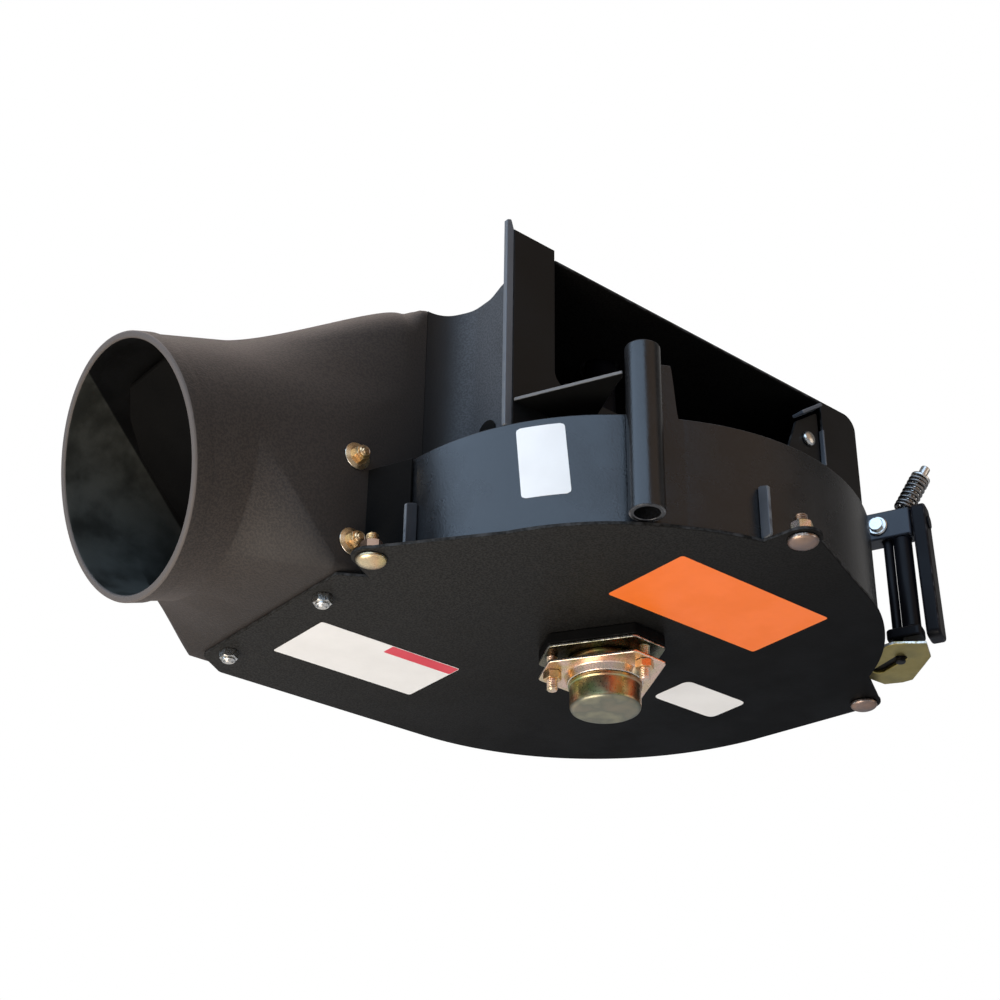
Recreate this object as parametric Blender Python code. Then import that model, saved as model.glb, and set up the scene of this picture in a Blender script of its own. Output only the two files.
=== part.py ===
"""Centrifugal blower of a mower grass collector, as a Blender assembly.

Sizes are in millimetres in a working frame whose z = 0 is the outer face of
the bearing plate and whose Z axis is the impeller shaft.  Meshes are scaled to
metres, and the whole machine stands on the end of its bearing cap.
"""
import math

import bmesh
import bpy
import numpy as np
from mathutils import Matrix, Vector
from mathutils.geometry import tessellate_polygon

MM = 0.001
GAP = 0.4                      # between pieces that touch

# Shaft and bearing
CAP_DROP = 52.0                # end of the bearing cap below the plate
CAP_R = 27.0
SHAFT_R = 12.5
FLANGE_BOLT_CIRCLE = 41.0
FLANGE_REACH = 48.0            # from the shaft to a cut corner of the flange
FLANGE_HALF = 16.5             # half the width of a cut corner
FLANGE_ROUND = 3.0
FLANGE_SHEET = 2.6
SPACER_Z = (-9.2, -GAP)        # pad between the plate and the bearing
UPPER_FLANGE_Z = -9.6
LOWER_FLANGE_Z = -22.0
COLLAR_DEPTH = 6.0             # pressed collar of the lower flange
BEARING_R = 30.0
FLANGE_TURN = 33.0             # direction of the first flange bolt, degrees

# Scroll housing
SHEET = 3.0
PLATE_R_NEAR = 193.5
PLATE_R_FAR = 227.0
BAND_R_NEAR = 188.5
BAND_R_FAR = 222.0
SPIRAL_FROM = -115.0           # spiral opens between these two directions
SPIRAL_TO = 7.0
BAND_TOP = 90.0
TAB_TOP = 134.0                # raised tongue of the band behind the hinge tube
OUTLET_X = -202.5              # end of the scroll band
HOOD_END_X = -156.0            # end of the hood, where the boot takes over
PLATE_LEFT = -224.0
PLATE_FAR_Y = 226.0
OUTLET_NEAR_Y = 37.0
EYE_R = 128.0

# Inlet hood and its frame
FRAME_Y = -86.0                # front face of the inlet frame
ROOF_TOP = 257.0
POST_TOP = 274.0
LEFT_BAR = (-164.0, -124.0)
RIGHT_BAR = (178.0, 222.0)
LEFT_BAR_TOP = 266.0
SILL_TOP = 144.0
HOOD_LEFT_X = -126.0
HOOD_FILLET = 30.0

# Hinge tube
TUBE_AT = (-114.6, -168.4)
TUBE_R = 12.7
TUBE_BORE_R = 9.0
TUBE_BOTTOM = 3.6
TUBE_TOP = 136.0
WEB_Z = 112.0

# Outlet boot
BOOT_WALL = 3.5
MOUTH_AT = (-345.0, 133.2, 86.5)
MOUTH_R = 98.3
RIM = 5.5                      # width of the mouth's end face
RIM_STEP = 1.2                 # the neck behind the rim is this much smaller
RIM_LENGTH = 12.0
NECK_TOP = 75.0                # straight run of the neck, above and below
NECK_LOW = 36.0
MOUTH_TURN = 177.3             # direction the mouth faces in plan
MOUTH_TILT = -18.2             # and its dip towards the bearing plate
BOOT_Y = (30.0, 227.8)
BOOT_Z = (SHEET + GAP, 261.0)
COLLAR_X = -227.0              # straight part of the collar, beside the band
COLLAR_X_HIGH = -172.0         # and above it
COLLAR_END_LOW = -203.0
COLLAR_END_HIGH = -156.6
TOP_ROUND = 34.0               # corner radii of the collar
LOW_ROUND = 8.0
BOOT_LEAVE = 120.0             # pull of the neck on the flare
BOOT_ARRIVE = 50.0             # and of the collar
FLARE_Z = (112.0, 182.0)       # the collar's step from beside the band to above it
BOOT_BOLT_X = -215.0
BOOT_BOLT_Z = (99.0, 28.0)
PLATE_BOLTS = ((-213.0, 189.0), (-212.5, 66.0))
RAMP_STATIONS = ((-186.0, 92.4, 48.0, 212.0), (-229.0, 92.4, 48.0, 213.0), (-262.0, 120.0, 48.0, 213.0),
                 (-295.0, 149.0, 52.0, 208.0), (-318.0, 168.0, 72.0, 190.0), (-332.0, 179.5, 95.0, 168.0))

# Impeller and drive
IMPELLER_R = 176.0
DISC_Z = (9.0, 12.0)
BLADE_Z = (12.4, 78.0)
BLADE_R = (58.0, 174.0)
BLADE_COUNT = 6
PULLEY_R = 40.0
PULLEY_Z = (276.0, 294.0)

# Latch
ARM_FROM = (196.0, FRAME_Y - GAP)
ARM_DIR = (0.417, -0.909)
ARM_LENGTH = 56.0
ARM_WIDTH = 18.0
ARM_Z = (117.0, 142.0)
PLUNGER_TILT = 30.0
SPRING_WIRE = 2.2
SPRING_R = 7.4
SPRING_PITCH = 4.4
SPRING_TURNS = 6
SPRING_BASE = 6.0
SPRING_TOP = SPRING_BASE + SPRING_PITCH * SPRING_TURNS + 1.0 + SPRING_WIRE
PIN_AT = 34.0                  # lock pin's place along the arm
SLEEVE_AT = 46.0
SLEEVE_R = 7.6
FOOT_Z = (27.0, 36.0)          # plate under the sleeve
PIVOT_Z = 128.0
LEVER_THICK = (0.6, 12.4)
CATCH_Z = (13.0, 16.0)

EARS = ((-220.0, -3.0), (-14.0, -216.0), (232.0, -59.0))
EAR_R = 14.0


def clear_scene():
    """Remove whatever objects the scene holds."""
    for item in list(bpy.data.objects):
        bpy.data.objects.remove(item, do_unlink=True)


def material(name, colour, roughness, metallic):
    """A Principled material of one colour."""
    made = bpy.data.materials.new(name)
    made.use_nodes = True
    shader = made.node_tree.nodes["Principled BSDF"]
    shader.inputs["Base Color"].default_value = (*colour, 1.0)
    shader.inputs["Roughness"].default_value = roughness
    shader.inputs["Metallic"].default_value = metallic
    return made


def empty(name, at, turn=None):
    """An empty at a place in the working frame, which carries pieces."""
    made = bpy.data.objects.new(name, None)
    bpy.context.collection.objects.link(made)
    place = Matrix.Translation(Vector((at[0], at[1], at[2] + CAP_DROP)) * MM)
    made.matrix_world = place @ (turn or Matrix.Identity(4))
    return made


def add(name, shape, look, carrier, smooth=False):
    """Make an object from (points in mm, faces) under a carrier empty."""
    points, faces = shape
    mesh = bpy.data.meshes.new(name)
    mesh.from_pydata([Vector(p) * MM for p in points], [], faces)
    tidy = bmesh.new()
    tidy.from_mesh(mesh)
    bmesh.ops.recalc_face_normals(tidy, faces=tidy.faces)
    tidy.to_mesh(mesh)
    tidy.free()
    mesh.materials.append(look)
    if smooth:
        mesh.shade_smooth()
        mesh.set_sharp_from_angle(angle=math.radians(35.0))
    made = bpy.data.objects.new(name, mesh)
    bpy.context.collection.objects.link(made)
    made.parent = carrier
    return made


def moved(shape, matrix):
    """The shape carried by a matrix (millimetres)."""
    points, faces = shape
    return [tuple(matrix @ Vector(p)) for p in points], faces


def shifted(shape, x, y, z=0.0):
    """The shape moved by a vector."""
    return moved(shape, Matrix.Translation((x, y, z)))


def prism(outline, low, high, holes=()):
    """A flat sheet of any outline, with holes, between two heights."""
    loops = [list(outline)] + [list(h) for h in holes]
    flat = [[Vector((x, y, 0.0)) for x, y in loop] for loop in loops]
    corners = [p for loop in loops for p in loop]
    count = len(corners)
    points = [(x, y, low) for x, y in corners] + [(x, y, high) for x, y in corners]
    faces = []
    for tri in tessellate_polygon(flat):
        faces.append(tuple(tri))
        faces.append(tuple(i + count for i in reversed(tri)))
    start = 0
    for loop in loops:
        size = len(loop)
        for i in range(size):
            a = start + i
            b = start + (i + 1) % size
            faces.append((a, b, b + count, a + count))
        start += size
    return points, faces


def turned(profile, segments=32):
    """Turn an (r, z) profile about Z; points with r = 0 become poles."""
    closed = profile[0][0] > 0.0
    points = []
    rows = []
    for r, z in profile:
        if r == 0.0:
            rows.append([len(points)] * segments)
            points.append((0.0, 0.0, z))
            continue
        rows.append(list(range(len(points), len(points) + segments)))
        for k in range(segments):
            a = 2.0 * math.pi * k / segments
            points.append((r * math.cos(a), r * math.sin(a), z))
    faces = []
    last = len(rows) if closed else len(rows) - 1
    for i in range(last):
        low = rows[i]
        high = rows[(i + 1) % len(rows)]
        for k in range(segments):
            n = (k + 1) % segments
            face = []
            for corner in (low[k], low[n], high[n], high[k]):
                if corner not in face:
                    face.append(corner)
            if len(face) > 2:
                faces.append(tuple(face))
    return points, faces


def cylinder(r, low, high, segments=24):
    """A solid bar about Z."""
    return turned([(0.0, low), (r, low), (r, high), (0.0, high)], segments)


def ring(outer, inner, low, high, segments=32):
    """A plain ring about Z."""
    return turned([(outer, low), (outer, high), (inner, high), (inner, low)], segments)


def circle(r, segments=24, at=(0.0, 0.0), start=0.0):
    """Points of a circle in plan."""
    turn = 2.0 * math.pi / segments
    return [(at[0] + r * math.cos(start + turn * k), at[1] + r * math.sin(start + turn * k))
            for k in range(segments)]


def arc(centre, r, start, stop, steps):
    """Points of an arc in plan, angles in degrees."""
    angles = np.radians(np.linspace(start, stop, steps))
    return [(centre[0] + r * math.cos(a), centre[1] + r * math.sin(a)) for a in angles]


def box(x, y, z):
    """A block between pairs of limits."""
    outline = [(x[0], y[0]), (x[1], y[0]), (x[1], y[1]), (x[0], y[1])]
    return prism(outline, z[0], z[1])


def hull(points):
    """Convex outline of points in plan, anticlockwise."""
    ordered = sorted(set(points))
    chains = []
    for run in (ordered, ordered[::-1]):
        chain = []
        for p in run:
            while len(chain) > 1 and turn_of(chain[-2], chain[-1], p) <= 0.0:
                chain.pop()
            chain.append(p)
        chains.append(chain[:-1])
    return chains[0] + chains[1]


def turn_of(a, b, c):
    """Twice the signed area of a triangle."""
    return (b[0] - a[0]) * (c[1] - a[1]) - (b[1] - a[1]) * (c[0] - a[0])


def spiral(near, far, degrees):
    """Radius of the scroll in a direction: steady, opening, then steady."""
    part = (degrees - SPIRAL_FROM) / (SPIRAL_TO - SPIRAL_FROM)
    return near + (far - near) * min(max(part, 0.0), 1.0)


def spiral_points(near, far, start, stop, steps):
    """Points of the scroll between two directions."""
    made = []
    for degrees in np.linspace(start, stop, steps):
        r = spiral(near, far, degrees)
        a = math.radians(degrees)
        made.append((r * math.cos(a), r * math.sin(a)))
    return made


def sides(path, thickness):
    """Left and right hand offsets of an open path."""
    line = np.array(path)
    step = np.gradient(line, axis=0)
    step /= np.linalg.norm(step, axis=1)[:, None]
    normal = np.column_stack([-step[:, 1], step[:, 0]]) * (thickness / 2.0)
    return line + normal, line - normal


def strip(rows):
    """A closed bar from rows of four corners."""
    points = [corner for row in rows for corner in row]
    count = len(rows)
    faces = [(0, 1, 2, 3), tuple(4 * (count - 1) + k for k in (3, 2, 1, 0))]
    for i in range(count - 1):
        for k in range(4):
            n = (k + 1) % 4
            faces.append((4 * i + k, 4 * i + n, 4 * i + 4 + n, 4 * i + 4 + k))
    return points, faces


def wall(path, thickness, low, highs):
    """A bent sheet standing on a path, its top height given at each point."""
    left, right = sides(path, thickness)
    rows = []
    for a, b, top in zip(left, right, highs):
        rows.append([(a[0], a[1], low), (a[0], a[1], top), (b[0], b[1], top), (b[0], b[1], low)])
    return strip(rows)


def upright(shape):
    """Turn a sheet drawn in (x, z) so that its thickness runs along Y."""
    return moved(shape, Matrix.Rotation(math.radians(90.0), 4, "X"))


def facing_front():
    """Turn that sends +Z to +Y, for bolts whose heads face the front."""
    return Matrix.Rotation(math.radians(-90.0), 4, "X")


def domed_bolt(head_r, head_h, shank_r, shank):
    """Round headed bolt: the head below z = 0, the shank above it."""
    profile = [(0.0, -head_h)]
    for k in range(1, 5):
        a = math.radians(90.0 - 22.5 * k)
        profile.append((head_r * math.cos(a), -head_h * math.sin(a) - 0.2))
    profile += [(head_r, 0.0), (shank_r, 0.0), (shank_r, shank), (0.0, shank)]
    return turned(profile, 20)


def hex_bolt(across, head_h, shank_r, shank):
    """Hexagon head below z = 0 with a chamfered rim, the shank above it."""
    r = across / math.sqrt(3.0)
    points, faces = prism(circle(r, 6), -head_h, 0.0)
    stem = cylinder(shank_r, -head_h / 2.0, shank, 12)
    return (points, faces), stem


def joined(name, shapes, look, carrier):
    """Fuse overlapping solids into one body."""
    first = add(name, shapes[0], look, carrier)
    for k, shape in enumerate(shapes[1:]):
        tool = add(f"{name}_fuse_{k}", shape, look, carrier)
        tool.hide_render = True
        tool.display_type = "WIRE"
        step = first.modifiers.new(f"fuse_{k}", "BOOLEAN")
        step.operation = "UNION"
        step.solver = "EXACT"
        step.object = tool
    return first


def cut(target, shapes, carrier):
    """Cut solids out of an object."""
    for k, shape in enumerate(shapes):
        tool = add(f"{target.name}_cut_{k}", shape, target.active_material, carrier)
        tool.hide_render = True
        tool.display_type = "WIRE"
        step = target.modifiers.new(f"cut_{k}", "BOOLEAN")
        step.operation = "DIFFERENCE"
        step.solver = "EXACT"
        step.object = tool


def rounded(vector):
    """A vector's values to four decimals, for printing."""
    return tuple(round(v, 4) for v in vector)


def polar(r, degrees):
    """A point in plan from a radius and a direction."""
    return r * math.cos(math.radians(degrees)), r * math.sin(math.radians(degrees))


def plate_outline():
    """Scroll shaped plate with three bolt ears and a relief notch."""
    low_corner = (PLATE_LEFT, OUTLET_NEAR_Y - 3.0)
    notch = (-204.0, 22.0)
    made = [low_corner, notch]
    made += arc(EARS[0], EAR_R, 110.0, 235.0, 7)
    made += spiral_points(PLATE_R_NEAR, PLATE_R_FAR, -152.0, -99.0, 15)
    made += arc(EARS[1], EAR_R, 190.0, 335.0, 8)
    made += spiral_points(PLATE_R_NEAR, PLATE_R_FAR, -68.0, -26.0, 9)
    made += arc(EARS[2], EAR_R, -75.0, 50.0, 7)
    made += spiral_points(PLATE_R_NEAR, PLATE_R_FAR, 14.0, 90.0, 17)
    made += arc((PLATE_LEFT + 18.0, PLATE_R_FAR - 18.0), 18.0, 90.0, 180.0, 6)
    return made


def flange_outline():
    """Pressed three bolt bearing flange: a triangle with its corners cut off."""
    points = []
    for k in range(3):
        towards = math.radians(FLANGE_TURN + 120.0 * k)
        for side in (-1.0, 1.0):
            reach = FLANGE_REACH - FLANGE_ROUND
            aside = side * (FLANGE_HALF - FLANGE_ROUND)
            x = reach * math.cos(towards) - aside * math.sin(towards)
            y = reach * math.sin(towards) + aside * math.cos(towards)
            points += circle(FLANGE_ROUND, 12, (x, y))
    return hull(points)


def tab_height(degrees):
    """Top of the band: level, with one raised tongue behind the hinge tube."""
    rise = min(max((degrees + 129.5) / 1.5, 0.0), 1.0)
    fall = min(max((-116.0 - degrees) / 1.5, 0.0), 1.0)
    soft = min(rise, fall)
    return BAND_TOP + (TAB_TOP - BAND_TOP) * soft * soft * (3.0 - 2.0 * soft)


def build_scroll(body, looks):
    """Bearing plate, scroll band, eye plate and their small fittings."""
    holes = [circle(20.0, 28)]
    holes += [circle(5.2, 12, ear) for ear in EARS]
    holes += [circle(4.4, 12, at) for at in PLATE_BOLTS]
    for k in range(3):
        holes.append(circle(5.0, 12, polar(FLANGE_BOLT_CIRCLE, FLANGE_TURN + 120.0 * k)))
    add("bottom_plate", prism(plate_outline(), 0.0, SHEET, holes), looks["plate"], body)

    coarse = np.arange(-186.0, 90.1, 6.0)
    fine = np.arange(-131.0, -113.9, 0.5)
    directions = sorted(set(coarse.tolist()) | set(fine.tolist()))
    tongue = [(OUTLET_X, OUTLET_NEAR_Y)]
    tongue += arc((-201.0, OUTLET_NEAR_Y - 13.0), 13.0, 90.0, 8.0, 6)
    path = list(tongue)
    highs = [BAND_TOP] * len(tongue)
    for degrees in directions:
        path.append(polar(spiral(BAND_R_NEAR, BAND_R_FAR, degrees), degrees))
        highs.append(tab_height(degrees))
    path += [(-100.0, BAND_R_FAR), (OUTLET_X, BAND_R_FAR)]
    highs += [BAND_TOP] * 2
    add("scroll_band", wall(path, SHEET, SHEET + GAP, highs), looks["band"], body, True)

    inner = 2.0
    near = BAND_R_NEAR - inner
    far = BAND_R_FAR - inner
    outline = spiral_points(near, far, -184.0, 90.0, 44)
    lip = OUTLET_X + 1.0
    outline += [(lip, far), (lip, OUTLET_NEAR_Y + 4.0), (4.5 - BAND_R_NEAR, OUTLET_NEAR_Y + 4.0)]
    eye = prism(outline, BAND_TOP - 4.0, BAND_TOP - 1.0, [circle(EYE_R, 40)])
    add("eye_plate", eye, looks["plate"], body)

    for k, (degrees, high) in enumerate(((-176.5, 42.0), (-98.5, 45.0)), 1):
        root = spiral(BAND_R_NEAR, BAND_R_FAR, degrees) + SHEET / 2.0 + GAP
        rib = box((root, root + 11.0), (-1.5, 1.5), (SHEET + GAP, high))
        turn = Matrix.Rotation(math.radians(degrees), 4, "Z")
        add(f"band_rib_{k}", moved(rib, turn), looks["band"], body)

    for k, ear in enumerate(EARS, 1):
        bolt = shifted(domed_bolt(11.5, 6.0, 4.6, 19.0), ear[0], ear[1], -GAP)
        add(f"ear_bolt_{k}", bolt, looks["zinc"], body, True)
        nut = prism(circle(10.0, 6), SHEET + GAP, 13.0, [circle(5.0, 12)])
        add(f"ear_nut_{k}", shifted(nut, *ear), looks["copper"], body)


def build_hood(body, looks):
    """Inlet hood above the scroll, with its frame, post and brackets."""
    low = BAND_TOP + GAP
    high = ROOF_TOP - SHEET - GAP
    start = -22.0
    back = spiral_points(BAND_R_NEAR, BAND_R_FAR, start, 90.0, 26)
    back += [(-100.0, BAND_R_FAR), (HOOD_END_X, BAND_R_FAR)]
    add("hood_back_wall", wall(back, SHEET, low, [high] * len(back)), looks["band"], body, True)

    bend = (HOOD_LEFT_X - HOOD_FILLET, BOOT_Y[0] + SHEET / 2.0 - HOOD_FILLET)
    left = [(HOOD_LEFT_X, FRAME_Y + SHEET + GAP), (HOOD_LEFT_X, -30.0)]
    left += arc(bend, HOOD_FILLET, 0.0, 90.0, 9)
    add("hood_left_wall", wall(left, SHEET, low, [high] * len(left)), looks["band"], body, True)

    behind = FRAME_Y + SHEET + GAP
    half = SHEET / 2.0
    roof = [(HOOD_LEFT_X - half, behind), (LEFT_BAR[1] + GAP, behind), (LEFT_BAR[1] + GAP, FRAME_Y)]
    roof += [(RIGHT_BAR[0] - GAP, FRAME_Y), (RIGHT_BAR[0] - GAP, behind)]
    roof += spiral_points(BAND_R_NEAR + half, BAND_R_FAR + half, start, 90.0, 26)
    roof += [(HOOD_END_X, BAND_R_FAR + half)]
    roof += arc(bend, HOOD_FILLET - half, 90.0, 0.0, 7)
    lid = prism(roof, ROOF_TOP - SHEET, ROOF_TOP, [circle(17.0, 24)])
    add("hood_roof", lid, looks["plate"], body)

    frame = [(LEFT_BAR[0], BAND_TOP + GAP), (RIGHT_BAR[1], BAND_TOP + GAP)]
    frame += arc((RIGHT_BAR[1] - 14.0, ROOF_TOP - 14.0), 14.0, 0.0, 90.0, 6)
    frame += [(RIGHT_BAR[0], ROOF_TOP)]
    frame += arc((RIGHT_BAR[0] - 12.0, SILL_TOP + 12.0), 12.0, 0.0, -90.0, 5)
    frame += arc((LEFT_BAR[1] + 12.0, SILL_TOP + 12.0), 12.0, 270.0, 180.0, 5)
    frame += [(LEFT_BAR[1], LEFT_BAR_TOP), (LEFT_BAR[0], LEFT_BAR_TOP)]
    plate = shifted(upright(prism(frame, 0.0, SHEET)), 0.0, FRAME_Y + SHEET)
    add("inlet_frame", plate, looks["frame"], body)

    edge = LEFT_BAR[0] - GAP
    post = [(edge - 6.5, low), (edge, low), (edge, POST_TOP - 8.0), (edge - 2.5, POST_TOP)]
    post.append((edge - 6.5, POST_TOP - 2.0))
    add("left_post", shifted(upright(prism(post, 0.0, 4.0)), 0.0, FRAME_Y + 4.0), looks["band"], body)

    web = [(-164.0, FRAME_Y - GAP), (-129.0, -163.0), (-124.5, -157.5), (-122.5, -150.5)]
    web.append((-95.0, FRAME_Y - GAP))
    add("web_plate", prism(web, WEB_Z, WEB_Z + SHEET), looks["band"], body)
    tube = ring(TUBE_R, TUBE_BORE_R, TUBE_BOTTOM, TUBE_TOP, 28)
    add("hinge_tube", shifted(tube, *TUBE_AT), looks["band"], body, True)

    inside = FRAME_Y + SHEET + GAP
    gusset = [(132.0, 186.0), (176.0, 186.0), (176.0, 246.0), (148.0, 226.0)]
    made = upright(prism(gusset, 0.0, SHEET, [circle(4.6, 12, (161.0, 213.0))]))
    add("corner_gusset", shifted(made, 0.0, inside + SHEET), looks["frame"], body)
    lip = [(148.0, 229.5), (174.0, 248.0), (172.3, 250.4), (146.3, 231.9)]
    add("corner_lip", shifted(upright(prism(lip, 0.0, 12.0)), 0.0, inside + SHEET), looks["band"], body)
    head, stem = hex_bolt(13.0, 5.5, 4.0, 12.0)
    towards = Matrix.Translation((161.0, inside - GAP, 213.0)) @ facing_front()
    joined("corner_bolt", [moved(head, towards), moved(stem, towards)], looks["bright"], body)


def mouth_frame():
    """Centre of the outlet mouth, the way it faces and two axes in its plane."""
    turn = math.radians(MOUTH_TURN)
    tilt = math.radians(MOUTH_TILT)
    out = np.array([math.cos(turn) * math.cos(tilt), math.sin(turn) * math.cos(tilt), math.sin(tilt)])
    across = np.cross([0.0, 0.0, 1.0], out)
    across /= np.linalg.norm(across)
    return np.array(MOUTH_AT), out, across, np.cross(out, across)


def collar_outline(inset, count):
    """Rounded rectangle of the collar in (y, z), at even steps from its near side."""
    y0, y1 = BOOT_Y[0] + inset, BOOT_Y[1] - inset
    z0, z1 = BOOT_Z[0] + inset, BOOT_Z[1] - inset
    mid = (z0 + z1) / 2.0
    loop = [(y0, mid)]
    for (y, z), radius, first in (((y0, z1), TOP_ROUND, 180.0), ((y1, z1), TOP_ROUND, 90.0),
                                  ((y1, z0), LOW_ROUND, 0.0), ((y0, z0), LOW_ROUND, -90.0)):
        r = radius - inset
        centre = (y + math.copysign(r, mid_of(BOOT_Y) - y), z + math.copysign(r, mid - z))
        loop += arc(centre, r, first, first - 90.0, 9)
    loop.append((y0, mid))
    line = np.array(loop)
    run = np.concatenate([[0.0], np.cumsum(np.linalg.norm(np.diff(line, axis=0), axis=1))])
    even = np.linspace(0.0, run[-1], count + 1)[:-1]
    return np.interp(even, run, line[:, 0]), np.interp(even, run, line[:, 1])


def mid_of(pair):
    """Middle of two limits."""
    return (pair[0] + pair[1]) / 2.0


def boot_skin(bore, inset, rows=10, around=64):
    """Rows of points from the round mouth along the neck to the square collar."""
    centre, out, across, up = mouth_frame()
    angle = 2.0 * np.pi * np.arange(around)[:, None] / around
    near = across if across[1] < 0.0 else -across
    spoke = np.cos(angle) * near + np.sin(angle) * up
    neck_r = MOUTH_R - RIM_STEP - inset
    mouth = centre + (MOUTH_R - bore) * spoke
    rim = mouth - out * RIM_LENGTH
    step = centre + neck_r * spoke - out * (RIM_LENGTH + 2.0)
    run = NECK_LOW + (NECK_TOP - NECK_LOW) * (0.5 + 0.5 * np.sin(angle))
    neck = centre + neck_r * spoke - out * run
    square_y, square_z = collar_outline(inset, around)
    part = np.clip((square_z - FLARE_Z[0]) / (FLARE_Z[1] - FLARE_Z[0]), 0.0, 1.0)
    blend = part * part * (3.0 - 2.0 * part)
    square = np.column_stack([COLLAR_X + (COLLAR_X_HIGH - COLLAR_X) * blend, square_y, square_z])
    u = np.linspace(0.0, 1.0, rows)[:, None, None]
    low = np.clip((BAND_TOP - square_z) / BAND_TOP, 0.0, 1.0)
    straight = (low * np.clip((square_y - 60.0) / 100.0, 0.0, 1.0))[:, None]
    leave = -out * BOOT_LEAVE * (1.0 - straight) + (square - neck) * straight
    arrive = np.array([BOOT_ARRIVE, 0.0, 0.0]) * (1.0 - straight) + (square - neck) * straight
    skin = (2 * u**3 - 3 * u**2 + 1) * neck + (u**3 - 2 * u**2 + u) * leave
    skin = skin + (-2 * u**3 + 3 * u**2) * square + (u**3 - u**2) * arrive
    end = square.copy()
    end[:, 0] = np.where(square_z > BAND_TOP + 6.0, COLLAR_END_HIGH, COLLAR_END_LOW)
    return np.concatenate([mouth[None], rim[None], step[None], skin, end[None]])


def shell(outer, inner):
    """A tube like wall between two skins, open at both ends."""
    rows, around = outer.shape[:2]
    points = [tuple(p) for p in outer.reshape(-1, 3)] + [tuple(p) for p in inner.reshape(-1, 3)]
    shift = rows * around
    faces = []
    for i in range(rows - 1):
        for k in range(around):
            n = (k + 1) % around
            a, b = i * around + k, i * around + n
            c, d = a + around, b + around
            faces.append((a, b, d, c))
            faces.append((a + shift, c + shift, d + shift, b + shift))
    for k in range(around):
        n = (k + 1) % around
        last = (rows - 1) * around
        faces.append((k, k + shift, n + shift, n))
        faces.append((last + k, last + n, last + n + shift, last + k + shift))
    return points, faces


def boot_bolt_hole(z):
    """A cutter through the walls at the boot's near side."""
    at = Matrix.Translation((BOOT_BOLT_X, OUTLET_NEAR_Y, z))
    return moved(cylinder(4.4, -14.0, 14.0, 12), at @ Matrix.Rotation(math.radians(90.0), 4, "X"))


def build_outlet(body, looks):
    """Moulded outlet boot, its inner ramp and its fasteners."""
    skin = shell(boot_skin(0.0, 0.0), boot_skin(RIM, BOOT_WALL))
    boot = add("outlet_boot", skin, looks["plastic"], body, True)
    holes = [boot_bolt_hole(z) for z in BOOT_BOLT_Z]
    holes += [shifted(cylinder(4.4, -10.0, 14.0, 12), *at) for at in PLATE_BOLTS]
    cut(boot, holes, body)

    rows = []
    for x, z, near, far in RAMP_STATIONS:
        rows.append([(x, near, z), (x, far, z), (x, far, z - SHEET), (x, near, z - SHEET)])
    add("outlet_ramp", strip(rows), looks["band"], body)

    left, right = BOOT_BOLT_X - 8.0, OUTLET_X - GAP
    lining = [(left, 14.0), (right, 14.0), (right, 111.0), (left, 111.0)]
    bores = [circle(4.4, 12, (BOOT_BOLT_X, z)) for z in BOOT_BOLT_Z]
    back = BOOT_Y[0] + BOOT_WALL + 2.0 * GAP + SHEET
    add("tongue_strip", shifted(upright(prism(lining, 0.0, SHEET, bores)), 0.0, back), looks["band"], body)

    for k, z in enumerate(BOOT_BOLT_Z, 1):
        skin = Matrix.Translation((BOOT_BOLT_X, BOOT_Y[0] - GAP, z)) @ facing_front()
        washer = turned([(10.5, -1.6), (10.5, 0.0), (4.6, 0.0), (4.6, -1.6)], 24)
        add(f"boot_washer_{k}", moved(washer, skin), looks["zinc"], body, True)
        head, stem = hex_bolt(10.0, 4.5, 3.6, 16.0)
        over = skin @ Matrix.Translation((0.0, 0.0, -1.6 - GAP))
        joined(f"boot_bolt_{k}", [moved(head, over), moved(stem, over)], looks["zinc"], body)
    for k, at in enumerate(PLATE_BOLTS, 1):
        head, stem = hex_bolt(13.0, 7.0, 3.6, 12.0)
        low = [shifted(head, at[0], at[1], -GAP), shifted(stem, at[0], at[1], -GAP)]
        joined(f"plate_bolt_{k}", low, looks["bright"], body)


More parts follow.
